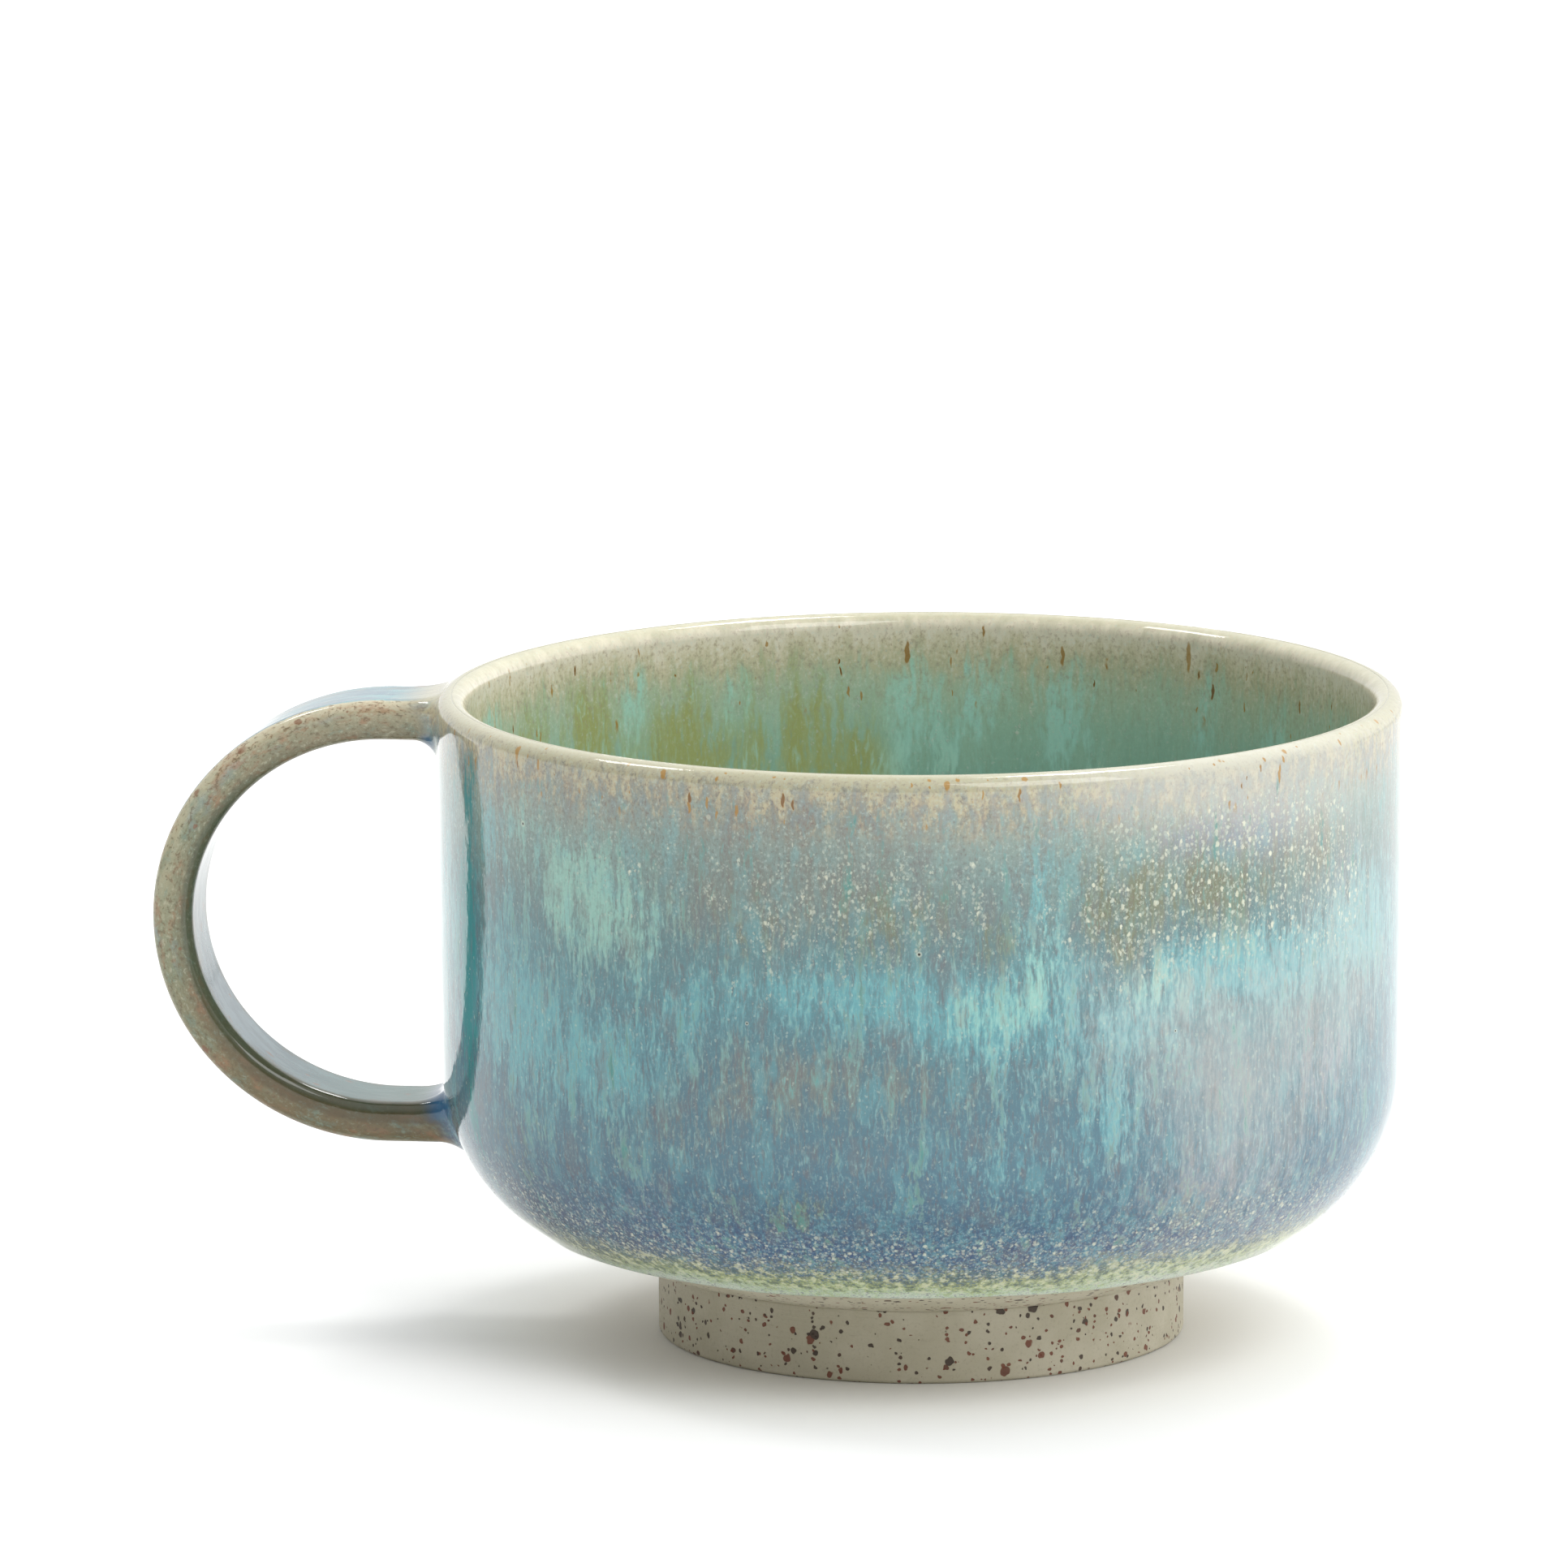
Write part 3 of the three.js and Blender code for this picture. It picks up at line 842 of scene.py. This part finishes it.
def joint_marks(points):
    """At each point, how deep the glaze pools, most in the creases under the strap's ends, and how far it
    breaks to rust, along the crease between the upper end and the lip."""
    _, normal = strap_section(0)
    pool = np.zeros(len(points))
    seam = np.zeros(len(points))
    for joint in (UPPER, LOWER):
        distance = np.linalg.norm(points[:, None] - joint.crease(0, 0)[None], axis=2)
        facing = normal[distance.argmin(1), 1]
        gap = distance.min(1)
        pool += smoothstep(facing, *joint.pool_facing) * np.exp(-((gap / joint.pool_size) ** 2))
        if joint is UPPER:
            seam += smoothstep(facing, -0.5, 0.1) * np.exp(-(((gap - SEAM_PLACE) / SEAM_WIDTH) ** 2))
    return pool, seam


def add_handle_glaze(material):
    """The coat on the strap, which runs out on the wall. It knows its place on the strap and on the wall,
    so that its colour can go over from one to the other."""
    face = strap_rings(0.0, 0.0, 150, 16)
    back = strap_rings(-GLAZE, GLAZE, 50, 5)[::-1]
    section, normal = strap_section(0)
    round_angle = np.arange(STRAP_SEGMENTS) * 2 * math.pi / STRAP_SEGMENTS
    girth_radius = STRAP_SEGMENTS * np.linalg.norm(section[1] - section[0]) / (2 * math.pi)
    middle = np.array([ring.mean(0) for ring in face])
    runs = np.concatenate([[0], np.cumsum(np.linalg.norm(np.diff(middle, axis=0), axis=1))])
    runs = np.concatenate([runs, np.linspace(runs[-1], 0, len(back))])
    strap = [flow_coordinates(girth_radius, round_angle, np.full(STRAP_SEGMENTS, run)) for run in runs]
    points = np.concatenate(face + back)
    angle = np.arctan2(points[:, 1], points[:, 0])
    run = run_at(points[:, 2])
    height = wall_x(points[:, 1], points[:, 2], 0) - points[:, 0]
    near_lip = smoothstep(points[:, 2], lip_z - 2, lip_z + 0.3)
    pool, seam = joint_marks(points)
    attributes = {
        "flow": flow_coordinates(outside(run)[0], angle, run),
        "strap": np.concatenate(strap),
        "on_wall": 1 - smoothstep(height / (1 + 1.3 * near_lip), 0.15, 2.4),
        "edge": np.tile(smoothstep(np.abs(normal[:, 0]), 0.05, 0.6), len(runs)),
        "inner": np.tile(smoothstep(-normal[:, 1], 0.1, 0.8), len(runs)),
        "across": np.tile(np.abs(section[:, 0]), len(runs)),
        "outward": np.tile(section[:, 1], len(runs)),
        "pool": pool,
        "seam": seam,
    }
    for key, places in OUTER_SPOTS.items():
        attributes[key] = soft_spots(places, angle, run)
    piece = mesh_from_rings("handle_glaze", face + back, attributes, True, material)
    stand_in(piece, "glaze_handle", "glaze_handle")


def add_handle_clay(material):
    """The pulled strap, cut off at the wall, and the slip fillets that hold it."""
    butts = []
    for joint in (UPPER, LOWER):
        butt = joint.crease(-COAT, COAT)
        butts.append([butt.mean(0)[None], butt])
    rings = butts[0] + loop_rings(-COAT, 70) + butts[1][::-1]
    piece = mesh_from_rings("handle_clay", rings, {}, False, material)
    stand_in(piece, "stoneware", "handle_strap")
    for name, joint in (("upper", UPPER), ("lower", LOWER)):
        rings = [joint.fillet_ring(turn, -COAT, COAT) for turn in np.linspace(0, math.pi / 2, 7)]
        rings.append(joint.crease(-COAT, COAT))
        piece = mesh_from_rings(f"slip_{name}", rings, {}, True, material)
        stand_in(piece, "stoneware", f"slip_joint_{name}")


def add_wall_pool(piece):
    """The pool of glaze beside the handle, on the outer coat."""
    points = np.array([vertex.co for vertex in piece.data.vertices]) / MM - np.array([AXIS_X, 0, 0])
    near = points[:, 0] < -RIM_RADIUS * 0.8
    pool = np.zeros(len(points))
    pool[near] = joint_marks(points[near])[0]
    add_attribute(piece.data, "pool", pool)


# ---------------------------------------------------------------- materials

CREAM = paint(166, 164, 138)
PALE_CRYSTAL = paint(212, 212, 190)
AMBER = paint(156, 114, 36)
DEEP_RUST = paint(92, 56, 30)
INK = paint(38, 36, 34)
POOL_BLUE = paint(46, 92, 130)

# The glaze's main colour by the run down from the lip's top, in millimetres.
OUTER_BANDS = [
    (0, CREAM),
    (1.4, paint(168, 164, 138)),
    (2.4, paint(164, 160, 136)),
    (4.2, paint(142, 142, 126)),
    (6, paint(132, 142, 132)),
    (9, paint(122, 142, 136)),
    (14, paint(104, 128, 126)),
    (19, paint(88, 120, 124)),
    (25, paint(80, 122, 130)),
    (33, paint(76, 112, 124)),
    (42, paint(76, 112, 127)),
    (50, paint(64, 100, 122)),
    (55, paint(58, 86, 122)),
    (56.6, paint(74, 98, 116)),
    (57.8, paint(128, 138, 100)),
    (59, paint(158, 170, 112)),
    (60.2, paint(176, 192, 140)),
    (61.4, paint(190, 208, 174)),
    (62.6, paint(202, 214, 194)),
    (64.5, paint(206, 214, 198)),
]
INNER_BANDS = [
    (0, CREAM),
    (1.2, paint(186, 182, 156)),
    (2.6, paint(218, 210, 188)),
    (4.2, paint(200, 192, 162)),
    (5.8, paint(180, 178, 146)),
    (8, paint(162, 180, 152)),
    (13, paint(146, 180, 156)),
    (26, paint(106, 152, 138)),
    (44, paint(70, 122, 120)),
    (62, paint(50, 96, 106)),
    (88, paint(42, 84, 100)),
]


def crystals(graph, colour, flow, density):
    """Pale crystals of three sizes where the density is high, and a few fine ones everywhere."""
    loose = graph.warp(flow, 0.35, 0.4)
    dust, _ = graph.spots(loose, 0.7, 0.9, 0.1, 0.26, share=0.8, shift=29)
    colour = graph.tint(colour, dust, 0.35, paint(176, 190, 176))
    clumps = graph.noise(flow, 1.3, 2.2, detail=2, shift=9)
    where = graph.band(graph.add(density, graph.sway((clumps, 1.4))), 0.1, 0.7)
    raised = None
    for across, along, large, most, tint, lowest, shift in (
        (0.34, 0.46, 0.62, 0.65, paint(172, 180, 166), 0.0, 17),
        (0.5, 0.72, 0.5, 0.7, paint(190, 196, 180), 0.15, 37),
        (0.66, 0.95, 0.46, 0.7, PALE_CRYSTAL, 0.4, 0),
    ):
        spot, tone = graph.spots(loose, across, along, 0.15, large, share=0.85, shift=shift)
        spot = graph.times(spot, graph.band(where, lowest, lowest + 0.5))
        spot = graph.times(spot, graph.band(tone, 0.0, 1.0, 0.3, 1.0))
        colour = graph.tint(colour, spot, most, tint)
        raised = spot if raised is None else graph.math("MAXIMUM", raised, spot)
    return colour, raised


def rust_drips(graph, colour, flow, run, low, high):
    """Drips of iron that ran a few millimetres down from the lip, amber with some dark hearts."""
    loose = graph.warp(flow, 0.9, 0.5)
    zone = graph.zone(run, low, low + 0.8, high - 3, high)
    for across, along, large, shift in ((1.6, 8.0, 0.28, 5), (1.0, 4.5, 0.25, 33)):
        drip, tone = graph.spots(loose, across, along, 0.1, large, share=0.6, shift=shift)
        drip = graph.times(drip, zone)
        colour = graph.tint(colour, graph.band(drip, 0.0, 1.0), 0.8, AMBER)
        heart = graph.times(graph.band(drip, 0.5, 1.0), graph.band(tone, 0.55, 0.9))
        colour = graph.tint(colour, heart, 0.7, DEEP_RUST)
    return colour


def pinholes(graph, colour, flow):
    cell = 7.5
    hole, _ = graph.spots(flow, cell, cell, 0.014, 0.024, share=0.55, shift=3)
    halo, _ = graph.spots(flow, cell, cell, 0.03, 0.055, share=0.55, shift=3)
    colour = graph.tint(colour, halo, 0.35, PALE_CRYSTAL)
    return graph.mix(hole, colour, INK), hole


def outer_colour(graph):
    """The colour of the outer glaze from the attributes that it shares with the handle's landings."""
    flow = graph.attribute("flow", "Vector")
    run = graph.third(flow)
    wavy = graph.warp(flow, 2.0, 0.6)
    drift = graph.noise(flow, 8, 15, detail=2)
    patch = graph.noise(wavy, 2.6, 6.5, detail=3, roughness=0.6, shift=52)
    streaks = graph.noise(wavy, 1.2, 8, detail=3, roughness=0.6)
    fibre = graph.noise(wavy, 0.34, 1.5, detail=3, roughness=0.65, shift=40)
    thread = graph.noise(wavy, 0.3, 2.4, detail=2, roughness=0.6, shift=61)
    grain = graph.noise(flow, 0.4, 0.45, detail=3, roughness=0.7, shift=25)
    clump = graph.noise(graph.warp(flow, 1.2, 0.5), 0.9, 2.1, detail=3, roughness=0.65, shift=71)

    # The zones by run: most of the wall, and then from the lip down.
    body = graph.zone(run, 2.5, 6, 57, 60)
    fibrous = graph.times(body, graph.band(run, 8, 24, 0.45, 1.0))
    granular = graph.times(graph.band(run, 24, 6, 0.42, 1.0), graph.band(run, 0, 3, 0.4, 1.0))
    granular = graph.times(granular, graph.band(run, 60, 57))
    mottled = graph.zone(run, 1.5, 3, 5, 9)
    blushing = graph.zone(run, 1.5, 4, 6, 11)
    low_wall = graph.band(run, 44, 55)
    clotted = graph.zone(run, 44, 55, 56, 59)
    rind = graph.zone(run, 55, 57.5, 60.5, 62)

    # The bands of colour wander up and down, and less at the lip and the lower edge.
    sandy = graph.times(graph.sway((grain, 6)), graph.band(run, 50, 56, 1.0, 2.4))
    borders = graph.math("MAXIMUM", graph.band(run, 11, 4), graph.band(run, 51, 56))
    lumpy = graph.times(graph.sway((clump, 9)), borders)
    loose = graph.add(graph.sway((drift, 7), (streaks, 5), (fibre, 4)), sandy, lumpy)
    freedom = graph.times(graph.band(run, 0, 3, 0.3, 1.0), graph.band(run, 55, 61, 1.0, 0.75))
    early = graph.times(graph.attribute("pale"), graph.band(run, 48, 56), 1.5)
    colour = graph.ramp(graph.add(run, early, graph.times(loose, freedom)), OUTER_BANDS)

    ragged = graph.sway((drift, 1.0), (streaks, 2.3), (fibre, 1.3))
    colour = graph.patches(
        colour, ragged, body,
        ("haze", 0.8, paint(112, 116, 108)),
        ("violet", 0.8, paint(110, 116, 136)),
        ("turquoise", 0.75, paint(98, 164, 170)),
        ("mint", 0.7, paint(146, 194, 178)),
        ("olive", 0.8, paint(108, 106, 70)),
    )
    colour = graph.speckle(
        colour,
        (patch, 0.52, 0.66, body, 0.3, paint(102, 164, 168)),  # turquoise patches
        (patch, 0.46, 0.34, body, 0.35, paint(106, 106, 108)),  # grey patches
        (fibre, 0.5, 0.76, fibrous, 0.42, paint(138, 188, 184)),  # bright fibres
        (thread, 0.5, 0.72, fibrous, 0.45, paint(100, 90, 92)),  # reddish threads
        (graph.add(grain, streaks), 0.85, 1.2, blushing, 0.3, paint(152, 124, 106)),  # brown blush
        (clump, 0.5, 0.62, mottled, 0.35, paint(124, 142, 146)),  # blue-grey mottling
        (clump, 0.48, 0.38, mottled, 0.35, paint(190, 176, 140)),  # cream mottling
    )
    # Painted shade at the lower left of the wall.
    colour = graph.tint(colour, graph.attribute("painted_shade"), 0.7, paint(30, 48, 66))
    colour = graph.speckle(
        colour,
        (clump, 0.51, 0.64, clotted, 0.5, paint(40, 58, 104)),  # dark blue clots
        (clump, 0.47, 0.36, clotted, 0.4, paint(92, 150, 160)),  # turquoise between them
        (grain, 0.5, 0.64, low_wall, 0.6, paint(48, 62, 92)),  # ink-blue grains
        (grain, 0.47, 0.34, low_wall, 0.5, paint(128, 160, 176)),  # pale blue grains
        (grain, 0.52, 0.7, granular, 0.5, paint(96, 84, 80)),  # brown grains
        (grain, 0.46, 0.3, granular, 0.45, paint(168, 184, 176)),  # pale grains
    )
    misty = graph.sway((streaks, 0.9), (fibre, 0.7), (grain, 0.6))
    pale = graph.band(graph.add(graph.attribute("pale"), misty), 0.0, 1.0)
    colour = graph.tint(colour, pale, 0.42, paint(200, 200, 194))
    # The painted reflection of the handle: a dark teal strip on the wall beside it.
    colour = graph.patches(colour, ragged, body, ("handle_reflection", 0.85, paint(40, 126, 126)))
    colour = graph.speckle(
        colour,
        (clump, 0.51, 0.62, rind, 0.6, paint(214, 214, 176)),  # cream clots in the lower edge
        (clump, 0.48, 0.37, rind, 0.65, paint(72, 92, 84)),  # dark clots in it
    )
    colour, crystal = crystals(graph, colour, flow, graph.times(graph.attribute("crystals"), body))
    colour = rust_drips(graph, colour, flow, run, 0.4, 8.0)
    colour, hole = pinholes(graph, colour, flow)
    colour = graph.tint(colour, graph.band(graph.attribute("pool"), 0.25, 0.95), 0.85, POOL_BLUE)
    return colour, crystal, hole, flow


def finish_glaze(graph, colour, crystal, hole, flow):
    """Glassy shading, with the faint unevenness of a melted surface."""
    ripple = graph.noise(flow, 3.2, 5.0, detail=2)
    fine = graph.noise(flow, 0.5, 0.8, detail=2, shift=12)
    normal = graph.bump(ripple, 0.05)
    normal = graph.bump(fine, 0.006, normal)
    normal = graph.bump(crystal, 0.015, normal)
    normal = graph.bump(hole, -0.08, normal)
    graph.shader.inputs["IOR"].default_value = 1.5
    return graph.finish(colour, graph.band(graph.add(fine, crystal), 0.4, 1.4, 0.04, 0.26), normal)


def outer_glaze_material():
    graph = Graph("outer_glaze")
    return finish_glaze(graph, *outer_colour(graph))


def inner_glaze_material():
    graph = Graph("inner_glaze")
    flow = graph.attribute("flow", "Vector")
    run = graph.third(flow)
    wavy = graph.warp(flow, 2.5, 0.8)
    drift = graph.noise(flow, 6, 14, detail=2, shift=14)
    streaks = graph.noise(wavy, 1.8, 11, detail=3, roughness=0.55)
    fibre = graph.noise(wavy, 0.6, 2.6, detail=3, roughness=0.6, shift=40)
    grain = graph.noise(flow, 0.5, 0.6, detail=3, roughness=0.7, shift=25)
    body = graph.times(graph.band(run, 3.5, 7), graph.band(run, 30, 50, 1.0, 0.2))
    upper = graph.times(graph.band(run, 3, 6), graph.band(run, 45, 62, 1.0, 0.25))
    granular = graph.times(graph.band(run, 16, 5, 0.2, 1.0), graph.band(run, 0, 3, 0.4, 1.0))

    loose = graph.sway((streaks, 7), (fibre, 4), (grain, 4))
    freedom = graph.band(run, 0, 6, 0.25, 1.0)
    colour = graph.ramp(graph.add(run, graph.times(loose, freedom)), INNER_BANDS)
    ragged = graph.sway((drift, 1.0), (streaks, 2.3), (fibre, 1.3))
    colour = graph.patches(
        colour, ragged, body,
        ("olive", 0.85, paint(154, 156, 88)),
        ("mint", 0.75, paint(156, 206, 190)),
    )
    colour = graph.speckle(
        colour,
        (fibre, 0.5, 0.75, upper, 0.22, paint(170, 204, 188)),  # bright fibres
        (fibre, 0.48, 0.28, upper, 0.22, paint(120, 132, 112)),  # dull fibres
        (grain, 0.5, 0.7, granular, 0.5, paint(150, 132, 118)),  # brown grains
        (grain, 0.46, 0.3, granular, 0.4, paint(206, 212, 200)),  # pale grains
    )
    colour, crystal = crystals(graph, colour, flow, graph.times(graph.band(run, 5, 9), 0.1))
    colour = rust_drips(graph, colour, flow, run, 1.6, 13.0)
    colour, hole = pinholes(graph, colour, flow)
    return finish_glaze(graph, colour, crystal, hole, flow)


def handle_glaze_material():
    """The glaze breaks to brown on the strap's narrow sides and stays blue on its broad faces. Its narrow
    sides also carry painted shade towards the inner edge and a painted highlight along the upper outer
    edge.
    """
    graph = Graph("handle_glaze")
    wall, _, hole, _ = outer_colour(graph)
    strap = graph.attribute("strap", "Vector")
    along = graph.third(strap)
    outward = graph.attribute("outward")
    wavy = graph.warp(strap, 1.5, 0.6)
    cloud = graph.noise(wavy, 2.6, 6.0, detail=3, roughness=0.6)
    brush = graph.noise(wavy, 1.7, 3.6, detail=4, roughness=0.65, shift=21)
    fleck = graph.noise(wavy, 0.42, 0.62, detail=3, roughness=0.7, shift=8)
    strands = graph.noise(wavy, 0.7, 7.0, detail=3, roughness=0.6, shift=33)

    outer = graph.mix(graph.band(strands, 0.36, 0.64), paint(84, 112, 128), paint(112, 142, 148))
    outer = graph.speckle(
        outer,
        (cloud, 0.48, 0.64, None, 0.5, paint(96, 152, 156)),  # turquoise clouds
        (cloud, 0.44, 0.32, None, 0.5, paint(126, 128, 112)),  # olive-grey clouds
        (fleck, 0.52, 0.7, None, 0.4, paint(160, 170, 158)),  # pale flecks
    )
    hollow = graph.mix(graph.band(cloud, 0.4, 0.62), paint(84, 104, 112), paint(104, 124, 130))
    hollow = graph.tint(hollow, graph.band(along, 58, 84), 0.9, paint(16, 92, 80))
    faces = graph.mix(graph.attribute("inner"), outer, hollow)

    lower = graph.band(along, 44, 66)  # towards the lower joint
    rusty = graph.add(brush, graph.sway((fleck, 0.5)))
    inner_shade = graph.add(graph.band(outward, 0.7, -0.5), graph.sway((brush, 1.2)))
    shaded = graph.add(graph.band(outward, -0.3, -1.8), graph.sway((brush, 0.6), (fleck, 0.5)))
    worn_and_painted_light = graph.mix(graph.band(cloud, 0.35, 0.65), paint(126, 132, 106), paint(144, 142, 114))
    worn_and_painted_light = graph.speckle(
        worn_and_painted_light,
        (cloud, 0.42, 0.25, None, 0.7, paint(124, 142, 142)),  # blue-grey clouds
        (along, 34, 8, None, 0.4, paint(168, 156, 130)),  # paler towards the upper joint
        (outward, 1.0, -1.6, None, 0.5, paint(92, 80, 56)),  # painted shade, darker inwards
        (outward, 0.5, 1.6, graph.band(along, 44, 28), 0.55, paint(206, 196, 170)),  # a painted highlight, cream, along the outer edge of the upper strap
        (cloud, 0.2, 0.55, graph.band(along, 40, 66), 0.85, paint(104, 88, 56)),  # brown, lower down
        (rusty, 0.5, 0.72, None, 0.6, paint(154, 110, 80)),  # rust marks
        (rusty, 0.46, 0.26, None, 0.7, paint(102, 124, 110)),  # green marks
        (fleck, 0.52, 0.66, None, 0.65, paint(88, 82, 60)),  # dark flecks
        (fleck, 0.46, 0.32, graph.band(along, 46, 66, 1.0, 0.45), 0.5, paint(176, 174, 150)),  # pale flecks
        (inner_shade, 0.3, 0.9, lower, 0.55, paint(78, 64, 40)),  # painted shade on the inner half, lower down
        (shaded, 0.15, 0.85, graph.band(along, 12, 30), 0.65, paint(62, 74, 56)),  # painted shade along the inner edge
    )

    margin = graph.band(graph.attribute("across"), 1.6, 4.8)
    creep = graph.times(margin, graph.band(outward, -1.0, -2.0, 0.0, 0.4))
    breaking = graph.add(graph.attribute("edge"), creep, graph.sway((brush, 1.1), (fleck, 0.6)))
    colour = graph.mix(graph.band(breaking, 0.1, 0.7), faces, worn_and_painted_light)
    dots, _ = graph.spots(graph.warp(strap, 0.6, 0.5), 2.4, 3.4, 0.08, 0.28, share=0.5)
    colour = graph.tint(colour, dots, 0.7, paint(120, 76, 52))
    colour = graph.tint(colour, graph.attribute("seam"), 0.7, paint(132, 88, 52))
    colour = graph.tint(colour, graph.band(graph.attribute("pool"), 0.2, 0.85), 0.9, POOL_BLUE)
    colour = graph.mix(graph.attribute("on_wall"), colour, wall)
    return finish_glaze(graph, colour, graph.times(dots, 0.3), hole, strap)


def clay_material():
    """Bare grey stoneware with iron specks that bled in the kiln."""
    graph = Graph("stoneware")
    place = graph.position()
    cloud = graph.noise(place, 6, 6, detail=4)
    sand = graph.noise(place, 0.35, 0.35, detail=3, roughness=0.7, shift=4)
    colour = graph.mix(graph.band(cloud, 0.35, 0.65), paint(184, 178, 156), paint(194, 188, 168))
    colour = graph.tint(colour, graph.band(sand, 0.52, 0.75), 0.35, paint(150, 142, 120))
    loose = graph.warp(place, 0.7, 0.5)
    iron = None
    for cell, small, large, share, shift in (
        (2.6, 0.13, 0.27, 0.65, 0),
        (1.4, 0.15, 0.34, 0.65, 11),
        (0.72, 0.2, 0.42, 0.5, 23),
    ):
        speck, tone = graph.spots(loose, cell, cell, small, large, share, shift)
        speck = graph.band(speck, 0.1, 0.6)
        brown = graph.mix(graph.band(tone, 0.4, 0.6), paint(58, 42, 36), paint(116, 62, 44))
        colour = graph.tint(colour, speck, 0.92, brown)
        iron = speck if iron is None else graph.math("MAXIMUM", iron, speck)
    rings = graph.noise(place, 14, 0.32, detail=3, roughness=0.6, shift=2)
    normal = graph.bump(sand, 0.03)
    normal = graph.bump(rings, 0.05, normal)
    normal = graph.bump(iron, -0.04, normal)
    return graph.finish(colour, graph.band(sand, 0.3, 0.7, 0.62, 0.78), normal)


def floor_material():
    graph = Graph("floor")
    graph.shader.inputs["Base Color"].default_value = (0.86, 0.86, 0.85, 1)
    graph.shader.inputs["Roughness"].default_value = 0.9
    return graph.material


def add_floor():
    half = 6.0
    mesh = bpy.data.meshes.new("floor")
    corners = [(-half, -half, 0), (half, -half, 0), (half, half, 0), (-half, half, 0)]
    mesh.from_pydata(corners, [], [(0, 1, 2, 3)])
    mesh.materials.append(floor_material())
    floor = bpy.data.objects.new("floor", mesh)
    bpy.context.scene.collection.objects.link(floor)


add_camera()
add_world()
add_softbox("key", azimuth=42, elevation=46, size=0.9, power=9)
add_softbox("rim_right", azimuth=159.5, elevation=62, size=0.35, power=5)
add_softbox("rim_left", azimuth=-114.6, elevation=55.6, size=0.35, power=4)
add_floor()

clay = clay_material()
outer_piece = add_outer_glaze(outer_glaze_material())
add_inner_glaze(inner_glaze_material())
add_cup_body(clay)
add_foot(clay)
add_handle_glaze(handle_glaze_material())
add_handle_clay(clay)
add_wall_pool(outer_piece)

bpy.context.scene.view_settings.view_transform = "Standard"
